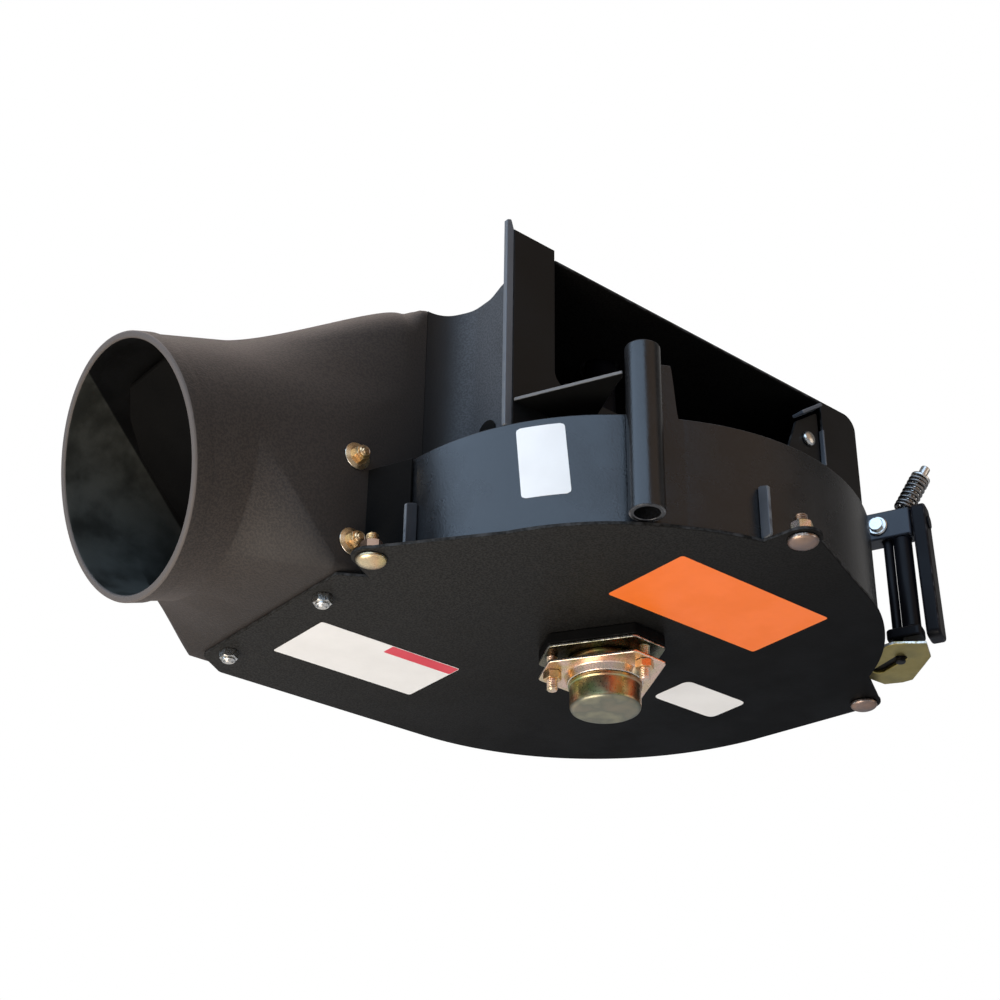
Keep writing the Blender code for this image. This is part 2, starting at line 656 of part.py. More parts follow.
def build_bearing(body, looks):
    """Two pressed flanges round the bearing, their bolts and the cap."""
    bolts = [polar(FLANGE_BOLT_CIRCLE, FLANGE_TURN + 120.0 * k) for k in range(3)]
    holes = [circle(21.0, 28)] + [circle(5.0, 12, at) for at in bolts]
    outline = flange_outline()
    add("bearing_spacer", prism(outline, SPACER_Z[0], SPACER_Z[1], holes), looks["frame"], body)
    upper = prism(outline, UPPER_FLANGE_Z - FLANGE_SHEET, UPPER_FLANGE_Z, holes)
    add("bearing_flange_upper", upper, looks["zinc"], body)
    lower = prism(outline, LOWER_FLANGE_Z - FLANGE_SHEET, LOWER_FLANGE_Z, holes)
    seat = LOWER_FLANGE_Z - FLANGE_SHEET
    lip = seat - COLLAR_DEPTH
    neck = turned([(30.5, seat + 1.0), (30.0, seat), (28.0, lip), (24.0, lip), (24.0, seat + 1.0)], 40)
    flange = joined("bearing_flange_lower", [lower, neck], looks["zinc"], body)
    flange.data.shade_smooth()
    flange.data.set_sharp_from_angle(angle=math.radians(35.0))
    ball = ring(BEARING_R, SHAFT_R + GAP, LOWER_FLANGE_Z + GAP, UPPER_FLANGE_Z - FLANGE_SHEET - GAP, 32)
    add("bearing", ball, looks["bright"], body, True)
    for k, at in enumerate(bolts, 1):
        nut = prism(circle(7.0, 6), seat - GAP - 6.0, seat - GAP)
        stud = cylinder(4.2, seat - 15.0, 6.0, 12)
        joined(f"flange_bolt_{k}", [shifted(nut, *at), shifted(stud, *at)], looks["bright"], body)
    top = lip - GAP
    cap = [(CAP_R - 3.0, -CAP_DROP), (CAP_R, -CAP_DROP + 3.0), (CAP_R, top - 2.6), (CAP_R + 1.0, top - 2.0)]
    cap += [(CAP_R + 1.0, top), (CAP_R - 2.0, top), (CAP_R - 2.0, -CAP_DROP + 2.0)]
    full = [(0.0, -CAP_DROP)] + cap + [(0.0, -CAP_DROP + 2.0)]
    add("hub_cap", turned(full, 40), looks["zinc"], body, True)
    housing = [(45.0, 257.4), (45.0, 261.0), (30.0, 264.0), (28.0, 274.0), (SHAFT_R + GAP, 274.0)]
    housing += [(SHAFT_R + GAP, 257.4)]
    add("upper_bearing", turned(housing, 32), looks["frame"], body, True)


def build_rotor(rotor, looks):
    """Shaft, impeller and pulley: everything that spins."""
    add("shaft", cylinder(SHAFT_R, -44.0, PULLEY_Z[1] + 11.0, 28), looks["bright"], rotor, True)
    bore = SHAFT_R + GAP
    add("impeller_disc", ring(IMPELLER_R, bore, DISC_Z[0], DISC_Z[1], 48), looks["band"], rotor, True)
    seat = DISC_Z[1] + GAP
    hub = [(30.0, seat), (30.0, 22.0), (22.0, 26.0), (22.0, 46.0), (bore, 46.0), (bore, seat)]
    add("impeller_hub", turned(hub, 32), looks["frame"], rotor, True)
    for k in range(BLADE_COUNT):
        fin = box((BLADE_R[0], BLADE_R[1]), (-2.0, 2.0), BLADE_Z)
        lean = Matrix.Translation((0.0, -26.0, 0.0))
        turn = Matrix.Rotation(2.0 * math.pi * k / BLADE_COUNT, 4, "Z")
        add(f"impeller_blade_{k + 1}", moved(fin, turn @ lean), looks["band"], rotor)
    low, high = PULLEY_Z
    mid = (low + high) / 2.0
    groove = [(bore, low - 1.6), (20.0, low - 1.6), (20.0, low), (PULLEY_R, low), (PULLEY_R, mid - 6.0)]
    groove += [(PULLEY_R - 10.0, mid - 3.0), (PULLEY_R - 10.0, mid + 3.0), (PULLEY_R, mid + 6.0)]
    groove += [(PULLEY_R, high), (bore, high)]
    add("drive_pulley", turned(groove, 40), looks["frame"], rotor, True)
    nut = prism(circle(19.0, 6), high + GAP, high + 8.0, [circle(bore, 24)])
    add("pulley_nut", nut, looks["bright"], rotor)


def arm_matrix():
    """Frame of the latch arm: x along the arm, y to its outer side."""
    along = Vector((ARM_DIR[0], ARM_DIR[1], 0.0)).normalized()
    aside = Vector((-along.y, along.x, 0.0))
    made = Matrix.Identity(4)
    made.col[0][:3] = along
    made.col[1][:3] = aside
    made.translation = Vector((ARM_FROM[0], ARM_FROM[1], 0.0))
    return made


def plunger_matrix():
    """Frame of the plunger: z along its slanted axis, origin on the arm."""
    at = arm_matrix() @ Vector((48.0, 0.0, ARM_Z[1]))
    lean = Vector((0.737, -0.676, 0.0)).normalized()
    tilt = math.radians(PLUNGER_TILT)
    axis = lean * math.sin(tilt) + Vector((0.0, 0.0, math.cos(tilt)))
    return Matrix.Translation(at) @ axis.to_track_quat("Z", "Y").to_matrix().to_4x4()


def spring_points():
    """Helix with a straight run at each end, in the plunger's frame."""
    base = SPRING_BASE
    per_turn = 10
    made = [(SPRING_R, 0.0, base - SPRING_WIRE - 1.0), (SPRING_R, 0.0, base - 1.0)]
    for k in range(SPRING_TURNS * per_turn + 1):
        a = 2.0 * math.pi * k / per_turn
        rise = base + SPRING_PITCH * k / per_turn
        made.append((SPRING_R * math.cos(a), SPRING_R * math.sin(a), rise))
    top = made[-1][2]
    made += [(SPRING_R, 0.0, top + 1.0), (SPRING_R, 0.0, top + 1.0 + SPRING_WIRE)]
    return made


def spring_gap(points):
    """Least clear distance between neighbouring curls."""
    line = np.array(points)
    apart = np.linalg.norm(line[:, None] - line[None], axis=2)
    rows = np.arange(len(line))
    apart[np.abs(rows[:, None] - rows[None]) < 6] = 1e9
    return float(apart.min()) - SPRING_WIRE


def build_latch(body, handle, pin, plunger, looks):
    """Swing latch: arm, lock pin, lever, sprung plunger and catch plate."""
    arm = arm_matrix()
    half = ARM_WIDTH / 2.0
    slant = half * ARM_DIR[0] / -ARM_DIR[1]
    outline = [(slant, half), (-slant, -half), (ARM_LENGTH, -half), (ARM_LENGTH, half)]
    hole = circle(4.6, 16, (PIN_AT, 0.0))
    block = moved(prism(outline, ARM_Z[0], ARM_Z[1], [hole]), arm)
    bracket = add("latch_arm", block, looks["arm"], body)
    slide = plunger_matrix()
    cut(bracket, [moved(cylinder(4.6, -15.0, 12.0, 16), slide)], body)

    head = hex_bolt(13.0, 5.0, 4.0, 4.0)[0]
    facing = arm @ Matrix.Translation((28.5, -half - GAP, 129.0)) @ facing_front()
    add("latch_bolt", moved(head, facing), looks["bright"], body)
    sleeve = ring(SLEEVE_R, 4.4, FOOT_Z[1] + GAP, ARM_Z[0] - GAP, 20)
    add("latch_sleeve", moved(shifted(sleeve, SLEEVE_AT, 0.0), arm), looks["black"], body, True)
    base = [(PIN_AT - 8.0, -half), (ARM_LENGTH - 1.0, -half), (ARM_LENGTH - 1.0, half), (PIN_AT - 8.0, half)]
    foot = prism(base, FOOT_Z[0], FOOT_Z[1], [circle(4.6, 16, (PIN_AT, 0.0))])
    add("latch_foot", moved(foot, arm), looks["black"], body)
    along = Matrix.Rotation(math.radians(90.0), 4, "Y")
    pivot = arm @ Matrix.Translation((ARM_LENGTH + GAP, 0.0, PIVOT_Z)) @ along
    bolt = turned([(0.0, 0.0), (4.0, 0.0), (4.0, 12.8), (5.5, 12.8), (5.5, 14.0), (0.0, 14.0)], 16)
    add("latch_pivot", moved(bolt, pivot), looks["black"], body, True)

    corners = []
    for x, y, r in ((-5.0, 11.0, 5.0), (5.0, 11.0, 5.0), (4.0, -95.0, 6.0), (14.0, -95.0, 6.0)):
        corners += circle(r, 16, (x, y))
    bar = prism(hull(corners), LEVER_THICK[0], LEVER_THICK[1], [circle(4.4, 16)])
    stand = along @ Matrix.Rotation(math.radians(90.0), 4, "Z")
    local = arm.to_3x3().to_4x4() @ stand
    add("latch_lever", moved(bar, local), looks["black"], handle, True)

    rod = cylinder(4.0, 9.0, 118.5, 16)
    add("lock_pin", rod, looks["black"], pin, True)
    stem = [(0.0, -4.0), (4.0, -4.0), (4.0, SPRING_TOP + 0.6), (8.4, SPRING_TOP + 0.6)]
    stem += [(8.4, SPRING_TOP + 3.0), (4.0, SPRING_TOP + 3.0), (4.0, SPRING_TOP + 13.0)]
    stem.append((0.0, SPRING_TOP + 13.0))
    add("plunger", turned(stem, 20), looks["bright"], plunger, True)

    line = bpy.data.curves.new("latch_spring", "CURVE")
    line.dimensions = "3D"
    line.bevel_depth = SPRING_WIRE / 2.0 * MM
    line.bevel_resolution = 1
    line.use_fill_caps = True
    points = spring_points()
    run = line.splines.new("POLY")
    run.points.add(len(points) - 1)
    for place, p in zip(run.points, points):
        place.co = (*(slide @ Vector(p) * MM), 1.0)
    line.materials.append(looks["bright"])
    coil = bpy.data.objects.new("latch_spring", line)
    bpy.context.collection.objects.link(coil)
    coil.parent = body
    print(f"latch spring: least gap between curls {spring_gap(points):.2f} mm")

    inner = [polar(spiral(BAND_R_NEAR, BAND_R_FAR, d) + 2.4, d) for d in (-20.0, -24.0, -28.0, -31.0)]
    outline = [(186.0, -131.0), (205.0, -148.0), (227.0, -134.5), (235.0, -122.0), (250.5, -97.0)]
    outline += [(248.5, -88.0), (240.0, -76.0)]
    at = arm @ Vector((PIN_AT, 0.0, 0.0))
    slots = [circle(5.4, 16, (at.x, at.y))]
    slots.append([(212.0, -107.0), (216.0, -106.0), (223.5, -84.0), (219.5, -83.0)])
    add("catch_plate", prism(outline + inner, CATCH_Z[0], CATCH_Z[1], slots), looks["zinc"], body)


def main():
    """Build every piece of the blower."""
    clear_scene()
    looks = {
        "plate": material("plate_paint", (0.045, 0.043, 0.042), 0.55, 0.1),
        "band": material("band_paint", (0.06, 0.06, 0.065), 0.4, 0.1),
        "frame": material("frame_paint", (0.04, 0.04, 0.04), 0.6, 0.1),
        "arm": material("arm_paint", (0.07, 0.08, 0.1), 0.5, 0.1),
        "black": material("black_oxide", (0.02, 0.02, 0.022), 0.45, 0.4),
        "plastic": material("moulded_plastic", (0.035, 0.034, 0.034), 0.75, 0.0),
        "zinc": material("yellow_zinc", (0.62, 0.52, 0.34), 0.3, 1.0),
        "copper": material("copper_zinc", (0.55, 0.38, 0.28), 0.35, 1.0),
        "bright": material("bright_zinc", (0.65, 0.65, 0.66), 0.28, 1.0),
    }
    body = empty("housing_origin", (0.0, 0.0, 0.0))
    rotor = empty("rotor_axis", (0.0, 0.0, 0.0))
    arm = arm_matrix()
    handle = empty("lever_axis", arm @ Vector((ARM_LENGTH + GAP, 0.0, PIVOT_Z)))
    pin = empty("pin_axis", arm @ Vector((PIN_AT, 0.0, 0.0)))
    slide = plunger_matrix()
    turn = slide.to_quaternion().to_matrix().to_4x4()
    plunger = empty("plunger_axis", slide.translation, turn)
    build_scroll(body, looks)
    build_hood(body, looks)
    build_outlet(body, looks)
    build_bearing(body, looks)
    build_rotor(rotor, looks)
    build_latch(body, handle, pin, plunger, looks)
    lever = handle.matrix_world.translation
    slider = plunger.matrix_world
    print("lever axis at", rounded(lever), "along", rounded(arm.col[0][:3]))
    print("plunger axis at", rounded(slider.translation), "along", rounded(slider.col[2][:3]))


main()
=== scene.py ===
# %% [markdown]
# # The blower of a grass collector
# A mower with a collector has a fan between the cutting deck and the bags.  This lesson dresses
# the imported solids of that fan: each visible part is worked out again as a smooth surface with
# rolled edges, and painted with materials made of nodes.  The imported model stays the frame, so a
# piece sits where its solid sits and moves with the same body.

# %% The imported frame
import math

import bmesh
import bpy
import numpy as np
from mathutils import Matrix, Vector
from mathutils.geometry import tessellate_polygon


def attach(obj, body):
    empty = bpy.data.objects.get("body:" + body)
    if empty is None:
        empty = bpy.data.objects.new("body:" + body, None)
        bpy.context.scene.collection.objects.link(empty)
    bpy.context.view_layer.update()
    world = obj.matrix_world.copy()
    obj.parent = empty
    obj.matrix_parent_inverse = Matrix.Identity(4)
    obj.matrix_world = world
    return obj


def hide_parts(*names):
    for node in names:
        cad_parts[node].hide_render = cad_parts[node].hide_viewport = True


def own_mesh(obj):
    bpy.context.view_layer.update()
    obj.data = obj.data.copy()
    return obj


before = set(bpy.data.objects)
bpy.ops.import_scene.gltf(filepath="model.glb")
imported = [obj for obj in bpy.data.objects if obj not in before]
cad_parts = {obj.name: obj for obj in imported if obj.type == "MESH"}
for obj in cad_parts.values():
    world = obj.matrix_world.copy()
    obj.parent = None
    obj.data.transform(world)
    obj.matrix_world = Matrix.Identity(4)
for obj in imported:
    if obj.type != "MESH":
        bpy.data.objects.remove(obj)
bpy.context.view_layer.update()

# %% [markdown]
# ## Camera
# The machine is seen from below and from its left, with the bearing towards us.  A camera could
# be placed by eye, but a camera is only a focal length, a middle point and three turns, so those
# numbers are written down and the camera's axes follow from them.

# %% Camera
CAP_DROP = 52.0          # the bearing cap's end below the plate, in millimetres
AZIMUTH, PITCH, ROLL = np.radians((47.46, 30.12, -0.90))
FOCAL_PX = 1806.7
MIDDLE_PX = (596.5, 489.5)
PICTURE_PX = 1000.0
SENSOR = 36.0
CAMERA_AT = (-848.2, -918.1, -585.6)


def lifted(points):
    """Drawing millimetres to metres: raise by the cap's depth, then take a thousandth."""
    return (np.asarray(points, float) + (0.0, 0.0, CAP_DROP)) * 0.001


level = np.array((math.cos(AZIMUTH), math.sin(AZIMUTH), 0.0))
sideways = np.array((math.sin(AZIMUTH), -math.cos(AZIMUTH), 0.0))
upright = np.array((0.0, 0.0, 1.0))
forward = level * math.cos(PITCH) + upright * math.sin(PITCH)
downward = level * math.sin(PITCH) - upright * math.cos(PITCH)
right = sideways * math.cos(ROLL) - downward * math.sin(ROLL)
below = sideways * math.sin(ROLL) + downward * math.cos(ROLL)

lens = bpy.data.cameras.new("picture_camera")
lens.sensor_width = SENSOR
lens.lens = FOCAL_PX / PICTURE_PX * SENSOR
lens.shift_x = 0.5 - MIDDLE_PX[0] / PICTURE_PX
lens.shift_y = MIDDLE_PX[1] / PICTURE_PX - 0.5
lens.clip_start = 0.01
camera = bpy.data.objects.new("picture_camera", lens)
camera.matrix_world = Matrix.Translation(lifted(CAMERA_AT)) @ Matrix(
    (right, -below, -forward)).transposed().to_4x4()
bpy.context.scene.collection.objects.link(camera)
bpy.context.scene.camera = camera
print("camera at", np.round(lifted(CAMERA_AT), 3), "lens", round(lens.lens, 2), "mm")

# %% [markdown]
# ## Floor and light
# A dark painted machine shows its shape by what it mirrors.  One lamp would leave most of it
# black, so a room does the work: a dim world with one cool window pane on the left and a warm
# wall in front.  Four soft boxes help it: one under the machine, a weak warm one on the right,
# one above, and one that washes the part of the floor that the plate mirrors.  The floor lies
# well below, because the camera looks up from under the machine.

# %% Small helpers for node trees
def put(tree, kind, inputs=None, **settings):
    """Add a node, set its settings, and link or set its inputs by name or number."""
    made = tree.nodes.new(kind)
    for name, value in settings.items():
        setattr(made, name, value)
    for name, value in (inputs or {}).items():
        if isinstance(value, bpy.types.NodeSocket):
            tree.links.new(value, made.inputs[name])
        else:
            made.inputs[name].default_value = value
    return made


def maths(tree, operation, first, second):
    """One sum on two values."""
    return put(tree, "ShaderNodeMath", {0: first, 1: second}, operation=operation).outputs[0]


def opaque(colour):
    """Three numbers as a colour that hides what is behind it; a socket stays a socket."""
    return colour if isinstance(colour, bpy.types.NodeSocket) else (*colour, 1.0)


def blended(tree, share, first, second):
    """Colour between two colours, each a socket or three numbers."""
    colours = {0: share, 6: opaque(first), 7: opaque(second)}
    return put(tree, "ShaderNodeMix", colours, data_type="RGBA").outputs[2]


def spread(tree, value, low, high, to_low=0.0, to_high=1.0):
    """A soft step: values from low to high become values from to_low to to_high."""
    limits = {"Value": value, "From Min": low, "From Max": high, "To Min": to_low, "To Max": to_high}
    return put(tree, "ShaderNodeMapRange", limits, interpolation_type="SMOOTHSTEP").outputs[0]


print("node helpers: put, maths, opaque, blended, spread")

# %% Room
ROOM_SHADE = (0.12, 0.112, 0.105)
WINDOW_LIGHT, WINDOW_AT = (1.6, 2.15, 2.9), (-0.982, -0.19, 0.0)
WARM_LIGHT, WARM_WALL = (0.50, 0.36, 0.26), (0.075, -0.863, 0.5)
SILL, HEAD, PANE_SIDES = (0.08, 0.28), (-0.8, -0.64), (0.53, 0.58)
WARM_EDGE, AHEAD_EDGE = (0.80, 0.95), (0.45, 0.9)
MIRRORED_SHARE = 0.2
WHITE = (1.0, 1.0, 1.0)

room = bpy.data.worlds.new("studio_room")
room.use_nodes = True
bpy.context.scene.world = room
walls = room.node_tree
walls.nodes.clear()
rays = put(walls, "ShaderNodeLightPath").outputs
towards = put(walls, "ShaderNodeTexCoord").outputs["Generated"]


def facing_wall(direction, low, high):
    """How far a ray goes towards one wall of the room: a soft step on the cosine between them."""
    cosine = put(walls, "ShaderNodeVectorMath", {0: towards, 1: tuple(direction)}, operation="DOT_PRODUCT")
    return spread(walls, cosine.outputs["Value"], low, high)


over_sill, under_head = facing_wall(upright, *SILL), facing_wall(-upright, *HEAD)
in_height = maths(walls, "MULTIPLY", over_sill, under_head)
pane = maths(walls, "MULTIPLY", in_height, facing_wall(WINDOW_AT, *PANE_SIDES))
warmed = blended(walls, facing_wall(WARM_WALL, *WARM_EDGE), ROOM_SHADE, WARM_LIGHT)
window = blended(walls, pane, warmed, WINDOW_LIGHT)
mirrored = maths(walls, "MAXIMUM", rays["Is Glossy Ray"], rays["Is Transmission Ray"])
ahead = maths(walls, "MULTIPLY", facing_wall(forward, *AHEAD_EDGE), MIRRORED_SHARE)
seen = maths(walls, "MAXIMUM", rays["Is Camera Ray"], maths(walls, "MULTIPLY", mirrored, ahead))
lighting = put(walls, "ShaderNodeBackground", {"Color": window, "Strength": 1.0})
backdrop = put(walls, "ShaderNodeBackground", {"Color": opaque(WHITE), "Strength": 1.0})
either = put(walls, "ShaderNodeMixShader", {0: seen, 1: lighting.outputs[0], 2: backdrop.outputs[0]})
put(walls, "ShaderNodeOutputWorld", {"Surface": either.outputs[0]})
bpy.context.scene.view_settings.view_transform = "Standard"
print("room:", len(walls.nodes), "nodes")

# %% Lamps
MACHINE = (-0.05, 0.0, 0.18)
FLOOR_Z, FLOOR_HALF = -1.25, 60.0
WASH_AT = (0.5, 2.6, -0.6)


def soft_lamp(name, at, towards, size, watts, colour, mirrored=True, beam=180.0):
    """A soft box, width by height, that faces a point and isn't seen itself.  The beam is the angle it
    opens to, in degrees."""
    data = bpy.data.lights.new(name, "AREA")
    data.shape = "RECTANGLE"
    data.size, data.size_y = size
    data.energy = watts
    data.color = colour
    data.spread = np.radians(beam)
    lamp = bpy.data.objects.new(name, data)
    lamp.location = at
    lamp.rotation_euler = (Vector(towards) - Vector(at)).to_track_quat("-Z", "Y").to_euler()
    lamp.visible_camera = False
    lamp.visible_glossy = mirrored
    bpy.context.scene.collection.objects.link(lamp)


soft_lamp("under_soft_box", (-1.05, 0.0, -0.95), MACHINE, (1.1, 0.9), 5.4, (1.0, 0.90, 0.78), beam=100.0)
soft_lamp("right_soft_box", (1.6, -2.0, 0.4), MACHINE, (1.2, 1.2), 6.0, (1.0, 0.85, 0.72))
soft_lamp("top_soft_box", (-0.2, 0.3, 1.35), MACHINE, (0.9, 0.9), 38.0, (1.0, 0.93, 0.9), mirrored=False)
soft_lamp("floor_wash", WASH_AT, (*WASH_AT[:2], FLOOR_Z), (2.0, 2.0), 10.5, (1.0, 0.90, 0.80),
          mirrored=False)

# %% Floor
FLOOR_TONES = (0.81, 0.79, 0.76), (0.85, 0.83, 0.80)
FLOOR_ROUGH, FLOOR_CLOUD = 0.85, 0.7

floor_mesh = bpy.data.meshes.new("studio_floor")
floor_corners = FLOOR_HALF * np.array([(-1, -1), (1, -1), (1, 1), (-1, 1)])
floor_mesh.from_pydata([(x, y, FLOOR_Z) for x, y in floor_corners.tolist()], [], [(0, 1, 2, 3)])
studio_floor = bpy.data.objects.new("studio_floor", floor_mesh)
bpy.context.scene.collection.objects.link(studio_floor)
floor_paint = bpy.data.materials.new("pale_floor")
floor_paint.use_nodes = True
floor_tree = floor_paint.node_tree
floor_shader = floor_tree.nodes["Principled BSDF"]
floor_cloud = put(floor_tree, "ShaderNodeTexNoise", {"Scale": FLOOR_CLOUD})
floor_colour = blended(floor_tree, floor_cloud.outputs["Fac"], *FLOOR_TONES)
floor_tree.links.new(floor_colour, floor_shader.inputs["Base Color"])
floor_shader.inputs["Roughness"].default_value = FLOOR_ROUGH
floor_mesh.materials.append(floor_paint)
print("floor:", 2 * FLOOR_HALF, "m wide, at z", FLOOR_Z)

# %% [markdown]
# ## Effects that several finishes share
# Paint, plating and plastic all have a fine skin, cloudy patches, rubbed edges and settled dust.
# Each effect is one node group with its own inputs, so a finish only says how coarse or how
# strong it is.  The rubbed edge reads an attribute that the surfaces below carry: 1 on a rolled
# edge, 0 on a face.

# %% Shared effects
def effect(name, inputs, outputs):
    """A new shader group with float inputs and float outputs; returns its tree and both ends."""
    group = bpy.data.node_groups.new(name, "ShaderNodeTree")
    for label, value in inputs.items():
        made = group.interface.new_socket(label, in_out="INPUT", socket_type="NodeSocketFloat")
        made.default_value = value
    for label in outputs:
        group.interface.new_socket(label, in_out="OUTPUT", socket_type="NodeSocketFloat")
    return group, group.nodes.new("NodeGroupInput").outputs, group.nodes.new("NodeGroupOutput").inputs


def place_noise(tree, scale, detail, roughness=0.55):
    """Noise on the object's own coordinates, in features per metre."""
    coords = put(tree, "ShaderNodeTexCoord").outputs["Object"]
    settings = {"Vector": coords, "Scale": scale, "Detail": detail, "Roughness": roughness}
    return put(tree, "ShaderNodeTexNoise", settings).outputs["Fac"]


SKIN, ends_in, ends_out = effect("fine_skin", {"Grain": 900.0, "Cloud": 14.0}, ("Height", "Patch"))
SKIN.links.new(place_noise(SKIN, ends_in["Grain"], 4.0), ends_out["Height"])
SKIN.links.new(spread(SKIN, place_noise(SKIN, ends_in["Cloud"], 5.0), 0.3, 0.7), ends_out["Patch"])

RUBBED, ends_in, ends_out = effect("rubbed_edge", {"Reach": 0.5, "Chips": 160.0}, ("Mask",))
on_edge = put(RUBBED, "ShaderNodeAttribute", attribute_name="edge").outputs["Fac"]
patchy = maths(RUBBED, "ADD", place_noise(RUBBED, ends_in["Chips"], 4.0), ends_in["Reach"])
broken = spread(RUBBED, maths(RUBBED, "MULTIPLY", on_edge, patchy), 0.72, 1.05)
RUBBED.links.new(broken, ends_out["Mask"])

DUST, ends_in, ends_out = effect("settled_dust", {"Cover": 0.3, "Clumps": 45.0}, ("Mask",))
facing = put(DUST, "ShaderNodeSeparateXYZ",
             {"Vector": put(DUST, "ShaderNodeNewGeometry").outputs["Normal"]}).outputs["Z"]
lying = spread(DUST, facing, -0.2, 0.95)
clumps = spread(DUST, place_noise(DUST, ends_in["Clumps"], 6.0, 0.65), 0.25, 0.95, 0.15, 0.6)
film = maths(DUST, "MULTIPLY", maths(DUST, "MULTIPLY", lying, clumps), ends_in["Cover"])
DUST.links.new(film, ends_out["Mask"])

BLOOM, ends_in, ends_out = effect("plating_bloom", {"Patches": 30.0, "Brush": 500.0}, ("Hue", "Polish"))
BLOOM.links.new(spread(BLOOM, place_noise(BLOOM, ends_in["Patches"], 2.0), 0.25, 0.75), ends_out["Hue"])
BLOOM.links.new(place_noise(BLOOM, ends_in["Brush"], 5.0, 0.7), ends_out["Polish"])


def use(tree, group, **values):
    """Place a shared effect in a finish with its own values."""
    made = tree.nodes.new("ShaderNodeGroup")
    made.node_tree = group
    for name, value in values.items():
        made.inputs[name].default_value = value
    return made.outputs


print("shared effects:", [g.name for g in bpy.data.node_groups])

# %% [markdown]
# ## Finishes
# The sheets are stove painted: nearly black, with a faint pebbled skin that breaks up the
# highlight.  Bolts and bearing flanges are zinc plated and passivated, which gives yellow, pink
# and green patches on a bright metal.  The boot is moulded plastic with a dull grain.  Each
# finish could be its own node tree, but within a family only the numbers differ, so one
# function makes each family and every finish is a call to it.

# %% Finishes: how paint is made
DUST_COLOUR = (0.16, 0.15, 0.13)
PAINT_RELIEF, PLATING_RELIEF, FILM_RELIEF = 0.0004, 0.0003, 0.0002    # metres
PAINT_CLOUDS = 16.0                                                   # patches per metre
PAINT_DUST = 0.15                                                     # share of a level face


def finish_tree(name):
    """A new material, its node tree and its Principled shader."""
    made = bpy.data.materials.new(name)
    made.use_nodes = True
    return made, made.node_tree, made.node_tree.nodes["Principled BSDF"]


def pebbled(tree, shader, height, strength, depth):
    """Bump from a height in metres of relief."""
    bump = put(tree, "ShaderNodeBump", {"Strength": strength, "Distance": depth, "Height": height})
    tree.links.new(bump.outputs["Normal"], shader.inputs["Normal"])


def place_along(tree, direction):
    """How far a point lies along a direction: a dot product on the object's own coordinates."""
    coords = put(tree, "ShaderNodeTexCoord").outputs["Object"]
    product = put(tree, "ShaderNodeVectorMath", {0: coords, 1: direction}, operation="DOT_PRODUCT")
    return product.outputs["Value"]


def painted(name, deep, pale, bare, rough, gloss, grain=900.0, bump=0.25, reach=0.35, speckle=0.0,
            painted_light_ramp=None):
    """Paint over steel: cloudy colour, rubbed edges that show a paler coat, dust on what lies level.
    Speckle is the share of the colour that follows the fine skin instead of the clouds.  A painted light
    ramp is a direction with two places along it, between which the deep colour turns into the pale one:
    painted shade at the low end, painted light at the high end."""
    made, tree, shader = finish_tree(name)
    skin = use(tree, SKIN, Grain=grain, Cloud=PAINT_CLOUDS)
    share = skin["Patch"]
    if speckle:
        fine = maths(tree, "MULTIPLY", spread(tree, skin["Height"], 0.38, 0.62), speckle)
        share = maths(tree, "ADD", fine, maths(tree, "MULTIPLY", share, 1.0 - speckle))
    # painted light and shade: the deep colour at one end of the ramp, the pale colour at the other
    if painted_light_ramp:
        place = place_along(tree, painted_light_ramp[0])
        share = spread(tree, share, 0.0, 1.0, 0.45, 1.0)
        share = maths(tree, "MULTIPLY", share, spread(tree, place, *painted_light_ramp[1:]))
    colour = blended(tree, share, deep, pale)
    rubbed = use(tree, RUBBED, Reach=reach)["Mask"]
    colour = blended(tree, rubbed, colour, bare)
    film = use(tree, DUST, Cover=PAINT_DUST)["Mask"]
    tree.links.new(blended(tree, film, colour, DUST_COLOUR), shader.inputs["Base Color"])
    varied = spread(tree, skin["Patch"], 0.0, 1.0, rough - 0.05, rough + 0.06)
    varied = maths(tree, "ADD", varied, maths(tree, "MULTIPLY", film, 0.5))
    tree.links.new(varied, shader.inputs["Roughness"])
    shader.inputs["Specular IOR Level"].default_value = gloss
    pebbled(tree, shader, skin["Height"], bump, PAINT_RELIEF)
    return made


print("ready: painted")

# %% Finishes: paints, rubber and plastic
LID_PAINT = painted("lid_paint", (0.0045, 0.0042, 0.0038), (0.0140, 0.0128, 0.0116), (0.05, 0.05, 0.05),
                    0.38, 0.03, grain=650.0, speckle=0.8)
# The plate's paint is paler towards the left and darker towards the right: painted light on the left, painted
# shade on the right.
PLATE_PAINT = painted("plate_paint", (0.0020, 0.0019, 0.0018), (0.0305, 0.0295, 0.0275), (0.05, 0.05, 0.05),
                      0.38, 0.03, grain=650.0, speckle=0.8, painted_light_ramp=((-1.0, 0.0, 0.0), -0.17, 0.25))
BAND_PAINT = painted("band_paint", (0.005, 0.0054, 0.0062), (0.012, 0.0129, 0.0145), (0.09, 0.09, 0.095),
                     0.25, 0.55, grain=650.0, bump=0.4, speckle=0.6)
FRAME_PAINT = painted("frame_paint", (0.0045, 0.0045, 0.0045), (0.007, 0.007, 0.007), (0.06, 0.06, 0.06),
                      0.45, 0.25)
# A lit copy of the black paint for the post, the bracket lip and the bar's edge strip: painted light and
# painted highlight where those parts catch the window.
PAINTED_HIGHLIGHT_PAINT = painted("painted_highlight_grey", (0.095, 0.103, 0.115), (0.115, 0.125, 0.14), (0.12, 0.125, 0.13),
                     0.42, 0.5)
